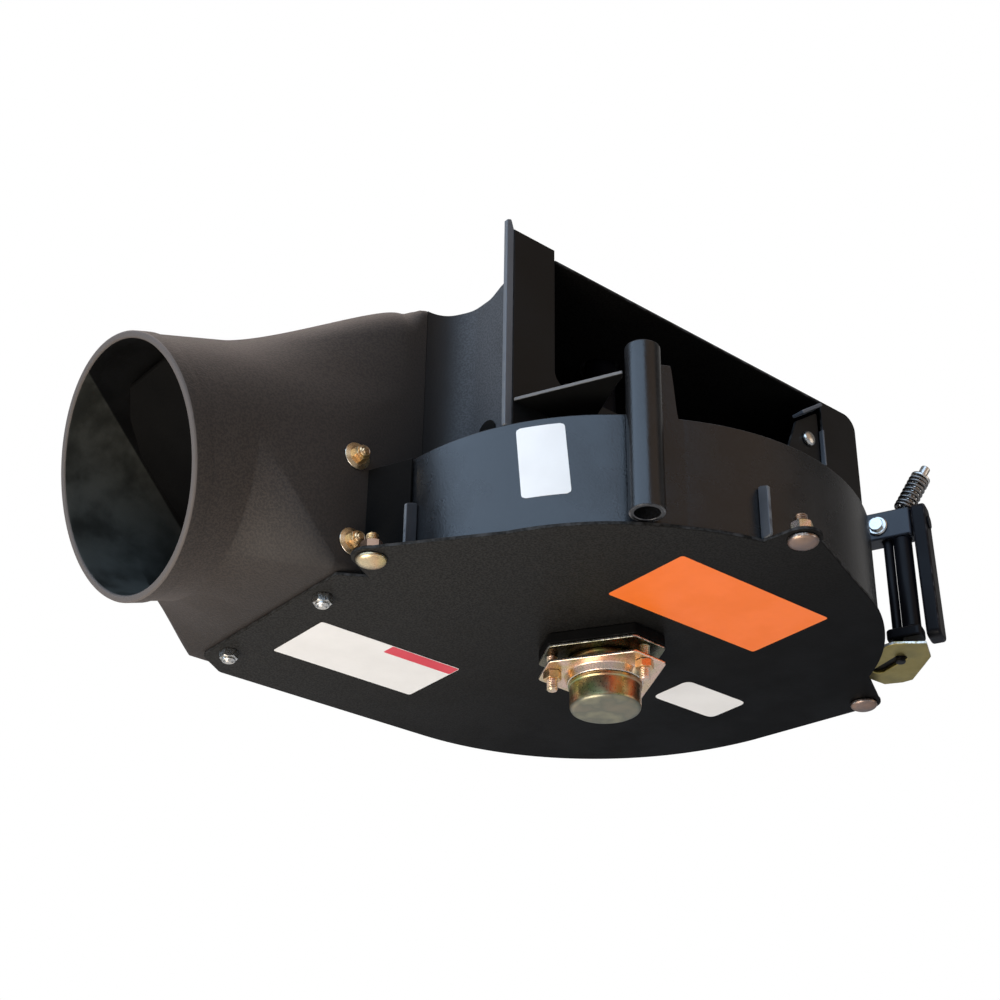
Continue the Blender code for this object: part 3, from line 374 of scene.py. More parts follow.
# The left wall is dark at its bend beside the boot and pale and bluish towards the post: painted shade at the
# bend, painted light beyond it.
LEFT_PAINT = painted("left_wall_paint", (0.0205, 0.0193, 0.0188), (0.068, 0.073, 0.080), (0.05, 0.055, 0.06),
                     0.55, 0.2, grain=650.0, bump=0.45, reach=0.2, speckle=0.7,
                     painted_light_ramp=((1.0, 0.0, 0.0), -0.1415, -0.1260))
WEB_PAINT = painted("web_paint", (0.0035, 0.0035, 0.0035), (0.006, 0.006, 0.006), (0.16, 0.155, 0.15),
                    0.5, 0.2, reach=0.75)
# Black rubber for the plug and the pad. The same black is painted shade on the pocket strip, and on the pad
# it also stands for the shadow under the upper pressing.
RUBBER_AND_SHADE_BLACK = painted("black_rubber_and_painted_shade", (0.0045, 0.0045, 0.0045), (0.007, 0.0068, 0.0065), (0.03, 0.03, 0.03),
                     0.75, 0.03, grain=700.0, bump=0.4)
RIB_PAINT = painted("rubbed_rib_paint", (0.035, 0.039, 0.046), (0.07, 0.078, 0.09), (0.16, 0.17, 0.18),
                    0.42, 0.5, grain=600.0, bump=0.4, reach=0.5)
ARM_PAINT = painted("arm_paint", (0.010, 0.015, 0.024), (0.014, 0.020, 0.031), (0.11, 0.12, 0.14),
                    0.38, 0.5)
BLACK_OXIDE = painted("black_oxide", (0.003, 0.003, 0.0042), (0.005, 0.005, 0.007), (0.05, 0.05, 0.055),
                      0.42, 0.14, grain=1500.0, bump=0.15)
# The boot's plastic is darker near the hood and low down, and paler towards the mouth and high up: painted
# shade and painted light over its own dark grey.
BOOT_PLASTIC = painted("moulded_plastic", (0.0135, 0.0121, 0.0112), (0.045, 0.0355, 0.029),
                       (0.12, 0.103, 0.092), 0.62, 0.3, grain=600.0, bump=0.8, reach=0.75, speckle=0.85,
                       painted_light_ramp=((-1.0, 0.0, 0.35), 0.191, 0.321))
boot_shader = BOOT_PLASTIC.node_tree.nodes["Principled BSDF"]
boot_shader.inputs["Sheen Weight"].default_value = 0.12
boot_shader.inputs["Sheen Roughness"].default_value = 0.45
boot_shader.inputs["Sheen Tint"].default_value = (1.0, 0.86, 0.78, 1.0)
print("paints, rubber and plastic:", [m.name for m in bpy.data.materials][1:])

# %% Finishes: the duct's inside, with painted shade
SHADE_EDGE_SOFTNESS = 0.0015


def duct_with_painted_shade(name, dark, film, line, edge):
    """The duct's inside: black plastic as painted shade above a slanting plane, and a paler grey in the
    film's two tones as painted light below it.  The plane is dot(line, P) = edge on the object's own
    coordinates."""
    made, tree, shader = finish_tree(name)
    place = place_along(tree, line)
    skin = use(tree, SKIN, Grain=500.0, Cloud=34.0)
    lit_colour = blended(tree, skin["Patch"], *film)
    lit_share = spread(tree, place, edge - SHADE_EDGE_SOFTNESS, edge + SHADE_EDGE_SOFTNESS, 1.0, 0.0)
    tree.links.new(blended(tree, lit_share, dark, lit_colour), shader.inputs["Base Color"])
    tree.links.new(spread(tree, skin["Patch"], 0.0, 1.0, 0.4, 0.55), shader.inputs["Roughness"])
    shader.inputs["Specular IOR Level"].default_value = 0.3
    pebbled(tree, shader, skin["Height"], 0.2, PAINT_RELIEF)
    return made


# Painted shade over the upper inside of the boot, painted light over the lower inside.
BOOT_INSIDE = duct_with_painted_shade("duct_inside", (0.004, 0.004, 0.004),
                         ((0.022, 0.0228, 0.0196), (0.062, 0.064, 0.056)), (1.116, -1.195, 1.0), -0.3824)
print("duct:", BOOT_INSIDE.name)

# %% Finishes: plating and castings
RUBBED_ZINC = (0.82, 0.80, 0.74)
ZINC_PATCHES, ZINC_BRUSH = 38.0, 900.0     # features per metre


def plated(name, hues, rough):
    """Passivated zinc: patches of hue over bright metal, with a faintly brushed polish."""
    made, tree, shader = finish_tree(name)
    bloom = use(tree, BLOOM, Patches=ZINC_PATCHES, Brush=ZINC_BRUSH)
    ramp = put(tree, "ShaderNodeValToRGB", {"Fac": bloom["Hue"]})
    stops = ramp.color_ramp.elements
    stops[0].color = opaque(hues[0])
    stops[1].color = opaque(hues[-1])
    for k, hue in enumerate(hues[1:-1], 1):
        stops.new(k / (len(hues) - 1)).color = opaque(hue)
    rubbed = use(tree, RUBBED, Reach=0.45, Chips=300.0)["Mask"]
    colour = blended(tree, rubbed, ramp.outputs["Color"], RUBBED_ZINC)
    tree.links.new(colour, shader.inputs["Base Color"])
    shader.inputs["Metallic"].default_value = 1.0
    polish = spread(tree, bloom["Polish"], 0.3, 0.7, rough - 0.06, rough + 0.1)
    tree.links.new(polish, shader.inputs["Roughness"])
    pebbled(tree, shader, bloom["Polish"], 0.12, PLATING_RELIEF)
    return made


YELLOW_ZINC = plated("yellow_zinc", ((0.76, 0.60, 0.28), (0.82, 0.55, 0.30), (0.72, 0.60, 0.38)), 0.3)
FLANGE_ZINC = plated("flange_zinc", ((0.82, 0.65, 0.36), (0.92, 0.65, 0.52), (0.64, 0.58, 0.33)), 0.26)
CAP_ZINC = plated("cap_zinc", ((0.27, 0.40, 0.16), (0.50, 0.45, 0.24), (0.44, 0.24, 0.13),
                               (0.46, 0.42, 0.27)), 0.3)
# A dark copy of the flange zinc for the upper pressing: painted shade where it sits between the plate and the
# lower pressing.
SHADED_FLANGE_ZINC = plated("shaded_flange_zinc", ((0.13, 0.15, 0.085), (0.17, 0.15, 0.10), (0.10, 0.12, 0.075)), 0.26)
# The cap's end takes a darker, greyer zinc: partly its own tone, partly painted shade on the end face.
CAP_END = plated("cap_end_zinc", ((0.44, 0.40, 0.26), (0.25, 0.245, 0.18), (0.35, 0.30, 0.21)), 0.36)
COPPER_ZINC = plated("copper_zinc", ((0.52, 0.27, 0.16), (0.42, 0.25, 0.17), (0.60, 0.38, 0.25)), 0.36)
TARNISHED_ZINC = plated("tarnished_zinc", ((0.34, 0.22, 0.16), (0.27, 0.2, 0.17), (0.40, 0.27, 0.19)), 0.34)
SPRING_STEEL = plated("spring_steel", ((0.20, 0.19, 0.18), (0.28, 0.26, 0.24), (0.16, 0.16, 0.16)), 0.3)
BRIGHT_ZINC = plated("bright_zinc", ((0.66, 0.66, 0.65), (0.62, 0.6, 0.55), (0.6, 0.62, 0.64)), 0.26)
CATCH_ZINC = plated("catch_zinc", ((0.30, 0.24, 0.07), (0.36, 0.29, 0.1), (0.26, 0.22, 0.08)), 0.36)
CAST_IRON = painted("cast_iron", (0.05, 0.05, 0.05), (0.08, 0.078, 0.075), (0.2, 0.2, 0.2), 0.6, 0.5,
                    grain=420.0, bump=0.6)
print("finishes so far:", len(bpy.data.materials))

# %% Finishes: plain film
DIRTY_RIM, WORN_SHARE, FILM_ROUGH = (0.18, 0.17, 0.15), 0.93, 0.42


def vinyl(name, colour):
    """A plain film: one colour with faint handling marks and a dirty rim."""
    made, tree, shader = finish_tree(name)
    skin = use(tree, SKIN, Grain=2200.0, Cloud=22.0)
    tone = blended(tree, skin["Patch"], colour, tuple(c * WORN_SHARE for c in colour))
    rim = use(tree, RUBBED, Reach=0.5, Chips=90.0)["Mask"]
    tree.links.new(blended(tree, rim, tone, DIRTY_RIM), shader.inputs["Base Color"])
    varied = spread(tree, skin["Patch"], 0.0, 1.0, FILM_ROUGH - 0.05, FILM_ROUGH + 0.08)
    tree.links.new(varied, shader.inputs["Roughness"])
    pebbled(tree, shader, skin["Height"], 0.06, FILM_RELIEF)
    return made


LABEL_WHITE = vinyl("label_white", (0.84, 0.83, 0.80))
LABEL_RED = vinyl("label_red", (0.66, 0.042, 0.067))
LABEL_ORANGE = vinyl("label_orange", (0.97, 0.185, 0.012))
print("all finishes:", len(bpy.data.materials))

# %% [markdown]
# ## Surfaces
# Everything on this machine is a sheet, a turned part, a bent strip, a wire or a loft.  A sheet
# could be an extruded outline with a Bevel, but then every edge waits on a modifier.  Here the
# rolled edge is part of the formula: an outline is carried through a half round, row by row.
# Each function returns points in millimetres, faces, and how far each point is on an edge.

# %% Grids and meshes
WELD_DISTANCE, SLIVER = 2e-6, 1e-7     # metres


def quads(rows, around, close_rows=False):
    """Faces between neighbours of a grid of rows by around points.  Each row is a closed ring, and the
    last row can meet the first."""
    r = np.arange(rows if close_rows else rows - 1)[:, None]
    c = np.arange(around)[None, :]
    r_next = (r + 1) % rows
    c_next = (c + 1) % around
    made = np.stack([r * around + c, r * around + c_next, r_next * around + c_next, r_next * around + c], -1)
    return made.reshape(-1, 4).tolist()


def together(*surfaces):
    """Several surfaces as one: their points one after another, their faces renumbered."""
    starts = np.cumsum([0] + [len(s[0]) for s in surfaces])
    faces = [[i + int(start) for i in face] for s, start in zip(surfaces, starts) for face in s[1]]
    return np.concatenate([s[0] for s in surfaces]), faces, np.concatenate([s[2] for s in surfaces])


def placed(surface, matrix):
    """A surface carried by a 4 by 4 matrix: P' = R P + T."""
    m = np.array(matrix)
    return surface[0] @ m[:3, :3].T + m[:3, 3], surface[1], surface[2]


def piece(name, surface, look, node=None, body="housing", crease=40.0, lining=None):
    """Put a surface into a mesh, weld its seams, point its faces outwards and let it ride on a body.
    A lining is a second finish and a mask of the faces that take it."""
    points, faces, edge = surface
    mesh = bpy.data.meshes.new(name)
    mesh.from_pydata(lifted(points).tolist(), [], faces)
    mesh.attributes.new("edge", "FLOAT", "POINT").data.foreach_set("value", np.asarray(edge, np.float32))
    if lining:
        mesh.polygons.foreach_set("material_index", lining[1].astype(np.int32))
    weld = bmesh.new()
    weld.from_mesh(mesh)
    bmesh.ops.remove_doubles(weld, verts=weld.verts, dist=WELD_DISTANCE)
    bmesh.ops.dissolve_degenerate(weld, edges=weld.edges, dist=SLIVER)
    bmesh.ops.recalc_face_normals(weld, faces=weld.faces)
    weld.to_mesh(mesh)
    weld.free()
    mesh.shade_smooth()
    mesh.set_sharp_from_angle(angle=math.radians(crease))
    for finish in (look, lining[0]) if lining else (look,):
        mesh.materials.append(finish)
    made = bpy.data.objects.new(name, mesh)
    bpy.context.scene.collection.objects.link(made)
    made.modifiers.new("even_shading", "WEIGHTED_NORMAL").keep_sharp = True
    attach(made, body)
    if node:
        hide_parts(node)
    return made


print("ready: quads, together, placed, piece")

# %% Outlines
def soften(corners, radius, steps=6, closed=True):
    """Each corner C becomes a curve (1-t)^2 S + 2t(1-t) C + t^2 E, where S and E lie r tan(bend/2)
    before and after it, and at most just under half way to the next corner."""
    c = np.asarray(corners, float)
    into = c - np.roll(c, 1, axis=0)
    out = np.roll(c, -1, axis=0) - c
    reach = np.minimum(np.linalg.norm(into, axis=1), np.linalg.norm(out, axis=1))
    into = into / np.linalg.norm(into, axis=1)[:, None]
    out = out / np.linalg.norm(out, axis=1)[:, None]
    bend = np.arccos(np.clip((into * out).sum(axis=1), -1.0, 1.0))
    cut = np.minimum(np.asarray(radius) * np.tan(bend / 2.0), 0.48 * reach)
    if not closed:
        cut[[0, -1]] = 0.0
    t = np.linspace(0.0, 1.0, steps)[None, :, None]
    cut = cut[:, None, None]
    start = c[:, None] - into[:, None] * cut
    stop = c[:, None] + out[:, None] * cut
    line = ((1 - t) ** 2 * start + 2 * t * (1 - t) * c[:, None] + t**2 * stop).reshape(-1, c.shape[1])
    fresh = np.linalg.norm(line - np.roll(line, 1, axis=0), axis=1) > 1e-4
    fresh[0] = not closed or fresh[0]
    return line[fresh]


def arc(centre, r, start, stop, steps):
    """Points of an arc in plan: C + r (cos a, sin a), degrees from start to stop."""
    a = np.radians(np.linspace(start, stop, steps))
    return np.asarray(centre) + r * np.column_stack([np.cos(a), np.sin(a)])


def circle(r, at=(0.0, 0.0), steps=32):
    """Points of a whole circle in plan."""
    return arc(at, r, 0.0, 360.0, steps + 1)[:-1]


def into_sheet(loop):
    """Directions into the sheet at each point of a loop that has the sheet on its left: the mean
    of both neighbours' normals, lengthened at corners so that offsets stay even."""
    along = np.roll(loop, -1, axis=0) - loop
    along /= np.linalg.norm(along, axis=1)[:, None]
    left = np.column_stack([-along[:, 1], along[:, 0]])
    before = np.roll(left, 1, axis=0)
    return (left + before) / np.maximum(1.0 + (left * before).sum(axis=1), 0.3)[:, None]


print("ready: soften, arc, circle, into_sheet")

# %% Sheets
THIN_SHEET = 6.0


def slab(outline, low, high, roll=0.8, holes=(), steps=4):
    """A sheet with rolled rims: loop(s) + d(q) n(s) at height z(q), where the inset d and the
    height z follow a quarter round at the bottom and another at the top; both faces are filled.  A thin
    sheet wears all over its rim, a thick one only on its two rolled corners."""
    q = np.linspace(0.0, np.pi / 2.0, steps)
    inset = np.concatenate([roll * (1.0 - np.sin(q)), roll * (1.0 - np.cos(q))])
    height = np.concatenate([low + roll * (1.0 - np.cos(q)), high - roll + roll * np.sin(q)])
    thin = high - low < THIN_SHEET
    wear = np.concatenate([np.sin(q), np.cos(q)]) if thin else np.tile(np.sin(2.0 * q), 2)
    points, faces, edge, bottoms, tops, start = [], [], [], [], [], 0
    for k, loop in enumerate([outline, *holes]):
        line = np.asarray(loop, float)
        x, y = line.T
        turns_left = np.dot(x, np.roll(y, -1)) > np.dot(y, np.roll(x, -1))
        line = line if turns_left == (k == 0) else line[::-1]
        rows = line[None] + inset[:, None, None] * into_sheet(line)[None]
        z = np.broadcast_to(height[:, None, None], rows.shape[:2] + (1,))
        points.append(np.concatenate([rows, z], axis=2).reshape(-1, 3))
        faces += [[i + start for i in face] for face in quads(len(inset), len(line))]
        edge.append(np.repeat(wear, len(line)))
        bottoms.append(np.arange(len(line)) + start)
        tops.append(bottoms[-1] + (len(inset) - 1) * len(line))
        start += len(points[-1])
    flat = np.concatenate(points)
    for loops in (bottoms, tops):
        number = np.concatenate(loops)
        filled = tessellate_polygon([[Vector(p) for p in flat[ids]] for ids in loops])
        faces += [[int(number[i]) for i in face] for face in filled]
    return flat, faces, np.concatenate(edge)


print("ready: slab")

# %% Turned parts
LONG_WALL = 2.6
THREAD_STEPS = 24


def axes_of(axis):
    """Two directions square to an axis, and the axis, all of length one."""
    n = np.asarray(axis, float) / np.linalg.norm(axis)
    u = np.cross(n, (0.0, 0.0, 1.0) if abs(n[2]) < 0.9 else (0.0, 1.0, 0.0))
    u /= np.linalg.norm(u)
    return u, np.cross(n, u), n


def turned(profile, at=(0.0, 0.0, 0.0), axis=(0.0, 0.0, 1.0), steps=72, flats=None):
    """Radius and height pairs carried round an axis: A + h n + r (u cos t + v sin t).  With flats
    the radius is cut to a hexagon, r = min(r, f / cos of the angle from the middle of a flat).  Wear
    shows where the profile bends, not on its long walls."""
    line = np.asarray(profile, float)
    t = np.linspace(0.0, 2.0 * np.pi, steps, endpoint=False)
    r = np.repeat(line[:, :1], steps, axis=1)
    if flats:
        r = np.minimum(r, flats / np.cos((t + np.pi / 6.0) % (np.pi / 3.0) - np.pi / 6.0))
    u, v, n = axes_of(axis)
    spokes = np.cos(t)[:, None] * u + np.sin(t)[:, None] * v
    points = np.asarray(at) + line[:, 1][:, None, None] * n + r[:, :, None] * spokes[None]
    step = np.diff(line, axis=0, append=line[:1])
    heading = np.unwrap(np.arctan2(step[:, 1], step[:, 0]))
    bend = np.clip(np.abs(heading - np.roll(heading, 1)) / 0.3, 0.0, 1.0)
    long = np.linalg.norm(step, axis=1) > LONG_WALL
    bend[(line[:, 0] < 1e-6) | long | np.roll(long, 1)] = 0.0
    ring = line[0, 0] > 1e-6
    return points.reshape(-1, 3), quads(len(line), steps, close_rows=ring), np.repeat(bend, steps)


def lathe(corners, roll, at=(0.0, 0.0, 0.0), axis=(0.0, 0.0, 1.0), steps=72):
    """A turned part from the corners of its profile, each corner rounded."""
    ring = corners[0][0] > 1e-6
    return turned(soften(corners, roll, 5, closed=ring), at, axis, steps)


def threaded(r, low, high, pitch, at, axis=(0.0, 0.0, 1.0)):
    """A screw thread: radius r - d (1 + cos(2 pi h / pitch - t)) / 2 at height h and angle t, with
    both ends drawn in to the axis."""
    h = np.linspace(low, high, max(int((high - low) / pitch * 9), 8))
    t = np.linspace(0.0, 2.0 * np.pi, THREAD_STEPS, endpoint=False)
    wave = r - 0.3 * pitch * (1.0 + np.cos(2.0 * np.pi * h[:, None] / pitch - t[None]))
    wave = np.minimum(wave, r - 0.9 + np.minimum(h - low, high - h)[:, None])
    wave = np.concatenate([np.zeros((1, THREAD_STEPS)), wave, np.zeros((1, THREAD_STEPS))])
    h = np.concatenate([[low], h, [high]])
    u, v, n = axes_of(axis)
    spokes = np.cos(t)[:, None] * u + np.sin(t)[:, None] * v
    points = np.asarray(at) + h[:, None, None] * n + wave[:, :, None] * spokes[None]
    crest = np.clip((wave - r + 0.25) / 0.25, 0.0, 1.0)
    return points.reshape(-1, 3), quads(len(h), THREAD_STEPS), crest.reshape(-1)


print("ready: turned, lathe, threaded")

# %% Strips and wires
ROUND_STEPS = 4


def strip(path, thickness, low, high, roll=0.8):
    """A bent strip on edge: a rounded rectangle carried along a path in plan.  Across the strip
    w runs from one face to the other, and z stays a fixed step from the low or the high edge."""
    line = np.asarray(path, float)
    along = np.gradient(line, axis=0)
    along /= np.linalg.norm(along, axis=1)[:, None]
    normal = np.column_stack([-along[:, 1], along[:, 0]])
    q = np.linspace(0.0, np.pi / 2.0, ROUND_STEPS)
    half = thickness / 2.0 - roll
    w = np.concatenate([half + roll * np.sin(q), half + roll * np.cos(q),
                        -half - roll * np.sin(q), -half - roll * np.cos(q)])
    rise = np.concatenate([roll - roll * np.cos(q), roll * np.sin(q) - roll,
                           roll * np.cos(q) - roll, roll - roll * np.sin(q)])
    from_top = np.repeat([0.0, 1.0, 1.0, 0.0], ROUND_STEPS)
    low = np.broadcast_to(low, len(line))[:, None]
    high = np.broadcast_to(high, len(line))[:, None]
    z = low + (high - low) * from_top + rise
    flat = line[:, None] + normal[:, None] * w[None, :, None]
    points = np.concatenate([flat, z[:, :, None]], axis=2)
    around = len(w)
    last = (len(line) - 1) * around
    faces = quads(len(line), around) + [list(range(around)), list(range(last, last + around))]
    edge = np.tile(np.clip(np.abs(rise) / roll + (np.abs(w) < half), 0.0, 1.0) < 0.9, len(line))
    return points.reshape(-1, 3), faces, edge.astype(float)


def wire(path, radius, around=12, up=(0.0, 0.0, 1.0)):
    """A round bar along a path: C(s) + r(s) (a cos t + b sin t), with a and b square to the path,
    and both ends drawn in to a point."""
    line = np.asarray(path, float)
    along = np.gradient(line, axis=0)
    along /= np.linalg.norm(along, axis=1)[:, None]
    a = np.cross(along, up)
    a /= np.linalg.norm(a, axis=1)[:, None]
    b = np.cross(along, a)
    t = np.linspace(0.0, 2.0 * np.pi, around, endpoint=False)
    r = np.broadcast_to(radius, len(line))[:, None, None]
    tube = line[:, None] + r * (np.cos(t)[None, :, None] * a[:, None] + np.sin(t)[None, :, None] * b[:, None])
    ends = [np.repeat(line[[k]][:, None], around, axis=1) for k in (0, -1)]
    points = np.concatenate([ends[0], tube, ends[1]])
    return points.reshape(-1, 3), quads(len(line) + 2, around), np.zeros(points.shape[0] * around)


print("ready: strip, wire")

# %% [markdown]
# ## Fasteners
# Bolts and nuts catch the light more than any sheet here.  A hexagon could be a prism of six
# sides with a bevel, but a real nut has curved shoulders.  So it is a cylinder whose radius is
# cut by six flats, and its corners are cut again by a cone.  Both cuts are one minimum, and the
# curved edge between flat and cone comes by itself.

# %% Fasteners
UP, DOWN, TO_FRONT = (0.0, 0.0, 1.0), (0.0, 0.0, -1.0), (0.0, -1.0, 0.0)


def hexagon(across, height, at, axis, bore=0.0, washer=0.0):
    """A nut or head that stands on a face and rises along an axis: six flats cut by a cone, and a
    round washer face under it where one is asked for."""
    corner = across / math.sqrt(3.0)
    fall = 0.14 * corner
    down = np.linspace(0.0, 1.0, 7)[:, None]
    cone = np.concatenate([corner - fall * down, height - 0.55 * fall * (1.0 - down)], axis=1)
    foot = 1.2 if washer else 0.0
    flats = np.concatenate([[(bore, foot), (corner, foot)], cone, [(bore, height)]])
    nut = turned(flats, at, axis, 72, flats=across / 2.0)
    if not washer:
        return nut
    skirt = [(bore, 0.0), (washer, 0.0), (washer, 1.0), (washer - 1.0, 1.8), (bore, 1.8)]
    return together(lathe(skirt, 0.4, at, axis, 48), nut)


def domed_head(r, height, at, axis):
    """A round bolt head: r cos a outwards and h sin a upwards on a short upright rim."""
    a = np.radians(np.linspace(0.0, 90.0, 14))
    dome = np.column_stack([r * np.cos(a), 1.2 + (height - 1.2) * np.sin(a)])
    dome[-1, 0] = 0.0
    return turned(np.concatenate([[(0.0, 0.0), (r - 0.4, 0.0), (r, 0.4)], dome]), at, axis, 48)


print("ready: hexagon, domed_head")

# %% [markdown]
# ## Scroll
# The scroll is the snail shell round the fan: a flat plate, and a band bent round it whose
# radius grows towards the outlet.  A curve drawn by hand could be extruded, but plate, band and
# hood all follow one spiral, so the spiral is a function of the direction.  The plate's outline
# is that spiral a little larger, with three ears for bolts.

# %% Scroll: sizes and spiral
SHEET, GAP = 3.0, 0.4     # the sheets' thickness, and the play between neighbours
PLATE_R = (193.5, 227.0)
BAND_R = (188.5, 222.0)
SPIRAL_SPAN = (-115.0, 7.0)
BAND_FOOT, BAND_TOP, TAB_TOP = 3.4, 90.0, 134.0
OUTLET_X, OUTLET_NEAR_Y = -202.5, 37.0
PLATE_LEFT = -224.0
EARS = ((-220.0, -3.0), (-14.0, -216.0), (232.0, -59.0))
EAR_R = 14.0


def spiral_r(radii, degrees):
    """Radius of the scroll: steady, then growing evenly with the direction, then steady."""
    part = (np.asarray(degrees, float) - SPIRAL_SPAN[0]) / (SPIRAL_SPAN[1] - SPIRAL_SPAN[0])
    return radii[0] + (radii[1] - radii[0]) * np.clip(part, 0.0, 1.0)


def spiral(radii, degrees, out=0.0):
    """Points of the scroll in plan at given directions, moved outwards by a distance."""
    a = np.radians(degrees)
    return (spiral_r(radii, degrees) + out)[:, None] * np.column_stack([np.cos(a), np.sin(a)])


def sweep(start, stop, step=1.0):
    """Directions from start to stop, about a step apart."""
    return np.linspace(start, stop, max(int(abs(stop - start) / step), 2) + 1)


def smooth(part):
    """A soft step from 0 to 1: 3 p^2 - 2 p^3."""
    p = np.clip(part, 0.0, 1.0)
    return p * p * (3.0 - 2.0 * p)


print("spiral: radius", BAND_R[0], "to", BAND_R[1], "mm")

# %% Scroll plate
plate_corner = [(-150.0, PLATE_R[1]), (-198.5, PLATE_R[1]), (PLATE_LEFT, 209.5), (PLATE_LEFT, 150.0)]
plate_outline = np.concatenate([
    [(PLATE_LEFT, OUTLET_NEAR_Y - 3.0), (-204.0, 22.0)], arc(EARS[0], EAR_R, 110.0, 235.0, 24),
    spiral(PLATE_R, sweep(-152.0, -99.0)), arc(EARS[1], EAR_R, 190.0, 335.0, 28),
    spiral(PLATE_R, sweep(-68.0, -26.0)), arc(EARS[2], EAR_R, -75.0, 50.0, 24),
    spiral(PLATE_R, sweep(14.0, 90.0)), soften(plate_corner, 9.0, closed=False)])
piece("bearing_plate", slab(plate_outline, 0.0, SHEET, 0.7, [circle(20.0, steps=48)]), PLATE_PAINT,
      "bottom_plate")

print("plate: outline of", len(plate_outline), "points")

# %% Scroll band
TONGUE_Y, TONGUE_BEND = 37.2, 5.0
TAB_TURNS, TAB_SLOPES = (-126.0, -116.0), (1.2, 1.5)

band_turns = np.unique(np.concatenate([sweep(-189.6, 90.0), sweep(-131.0, -114.0, 0.15)]))
tongue = np.concatenate([[(OUTLET_X, TONGUE_Y), (-196.0, TONGUE_Y)],
                         arc((-190.8, TONGUE_Y - TONGUE_BEND), TONGUE_BEND, 90.0, -8.0, 14)])
run_out = np.column_stack([np.linspace(-20.0, OUTLET_X, 14), np.full(14, BAND_R[1])])
on_tab = np.minimum((band_turns - TAB_TURNS[0]) / TAB_SLOPES[0], (TAB_TURNS[1] - band_turns) / TAB_SLOPES[1])
band_tops = BAND_TOP + (TAB_TOP - BAND_TOP) * smooth(on_tab)
band_path = np.concatenate([tongue, spiral(BAND_R, band_turns), run_out])
band_high = np.concatenate([np.full(len(tongue), BAND_TOP), band_tops, np.full(len(run_out), BAND_TOP)])
# A near-black strip stands in the pocket between the boot and the band: a dark sheet for painted shade where
# the pocket lies in shadow.
shade_strip_path = np.column_stack([np.linspace(-203.6, -191.6, 12), np.linspace(29.4, -7.0, 12)])
shade_strip_high = np.linspace(91.5, BAND_TOP - 0.5, 12)
piece("pocket_shade_strip", strip(shade_strip_path, 1.6, BAND_FOOT + GAP, shade_strip_high, 0.5), RUBBER_AND_SHADE_BLACK)
piece("spiral_band", strip(band_path, SHEET, BAND_FOOT, band_high), BAND_PAINT, "scroll_band")
print("band:", len(band_path), "stations")

# %% Ribs and ear bolts
RIB_DEEP, RIB_SLOPE = 10.0, 4.0
STAND = Matrix.Rotation(math.radians(90.0), 4, "X")     # turns a sheet drawn in (x, z) upright

for k, (degrees, high) in enumerate(((-176.5, 51.0), (-98.5, 46.0)), 1):
    root = float(spiral_r(BAND_R, degrees)) + SHEET / 2.0 + GAP
    tip = root + RIB_DEEP
    outline = soften([(root, BAND_FOOT), (tip, BAND_FOOT), (tip, high - RIB_SLOPE), (root, high)], 2.0)
    rib = placed(slab(outline, -SHEET / 2.0, SHEET / 2.0, 0.7), STAND)
    piece(f"stiffening_rib_{k}", placed(rib, Matrix.Rotation(math.radians(degrees), 4, "Z")), RIB_PAINT,
          f"band_rib_{k}")

EAR_LOOKS = ((YELLOW_ZINC, COPPER_ZINC), (TARNISHED_ZINC, FLANGE_ZINC), (TARNISHED_ZINC, FLANGE_ZINC))
for k, (ear, (look, nut_look)) in enumerate(zip(EARS, EAR_LOOKS), 1):
    stem = threaded(4.6, -1.0, 18.6, 1.5, (*ear, 0.0))
    head = domed_head(10.9, 5.6, (*ear, -GAP), DOWN)
    piece(f"carriage_bolt_{k}", together(head, stem), look, f"ear_bolt_{k}")
    piece(f"flange_nut_{k}", hexagon(14.0, 8.8, (*ear, SHEET + GAP), UP, 4.7, 8.6), nut_look,
          f"ear_nut_{k}")
print("ear bolts:", len(EARS))

# %% [markdown]
# ## Hood
# Above the scroll sits a box of bent sheet that is open to the front: the inlet.  A flat frame
# stands round the opening, a round tube in front of it is the hinge that the blower hangs on,
# and a level web ties the two together.  One folded mesh could do, but real sheets end in edges
# that wear.  So the walls are strips on edge, bent round the same spiral as the band, and wall
# and band line up.

# %% Hood walls
FRAME_Y = -86.0
ROOF_TOP, POST_TOP = 257.0, 274.0
LEFT_BAR, RIGHT_BAR = (-164.0, -124.0), (178.0, 222.0)
LEFT_BAR_TOP, SILL_TOP = 266.0, 144.0
HOOD_LEFT_X, HOOD_END_X, HOOD_FILLET = -126.0, -156.0, 30.0
HOOD_FOOT, HOOD_EAVES = 90.4, 253.6
LEFT_LIP = (257.2, 259.0, 266.0)
BOOT_NEAR_Y = 30.0
BEHIND_FRAME = FRAME_Y + SHEET + GAP
HOOD_TURNS = sweep(-22.0, 90.0)


def standing(outline, front, thickness, roll=0.7):
    """A sheet drawn in (x, z) that stands with its front at a place on Y."""
    points, faces, edge = placed(slab(outline, 0.0, thickness, roll), STAND)
    return points + (0.0, front + thickness, 0.0), faces, edge


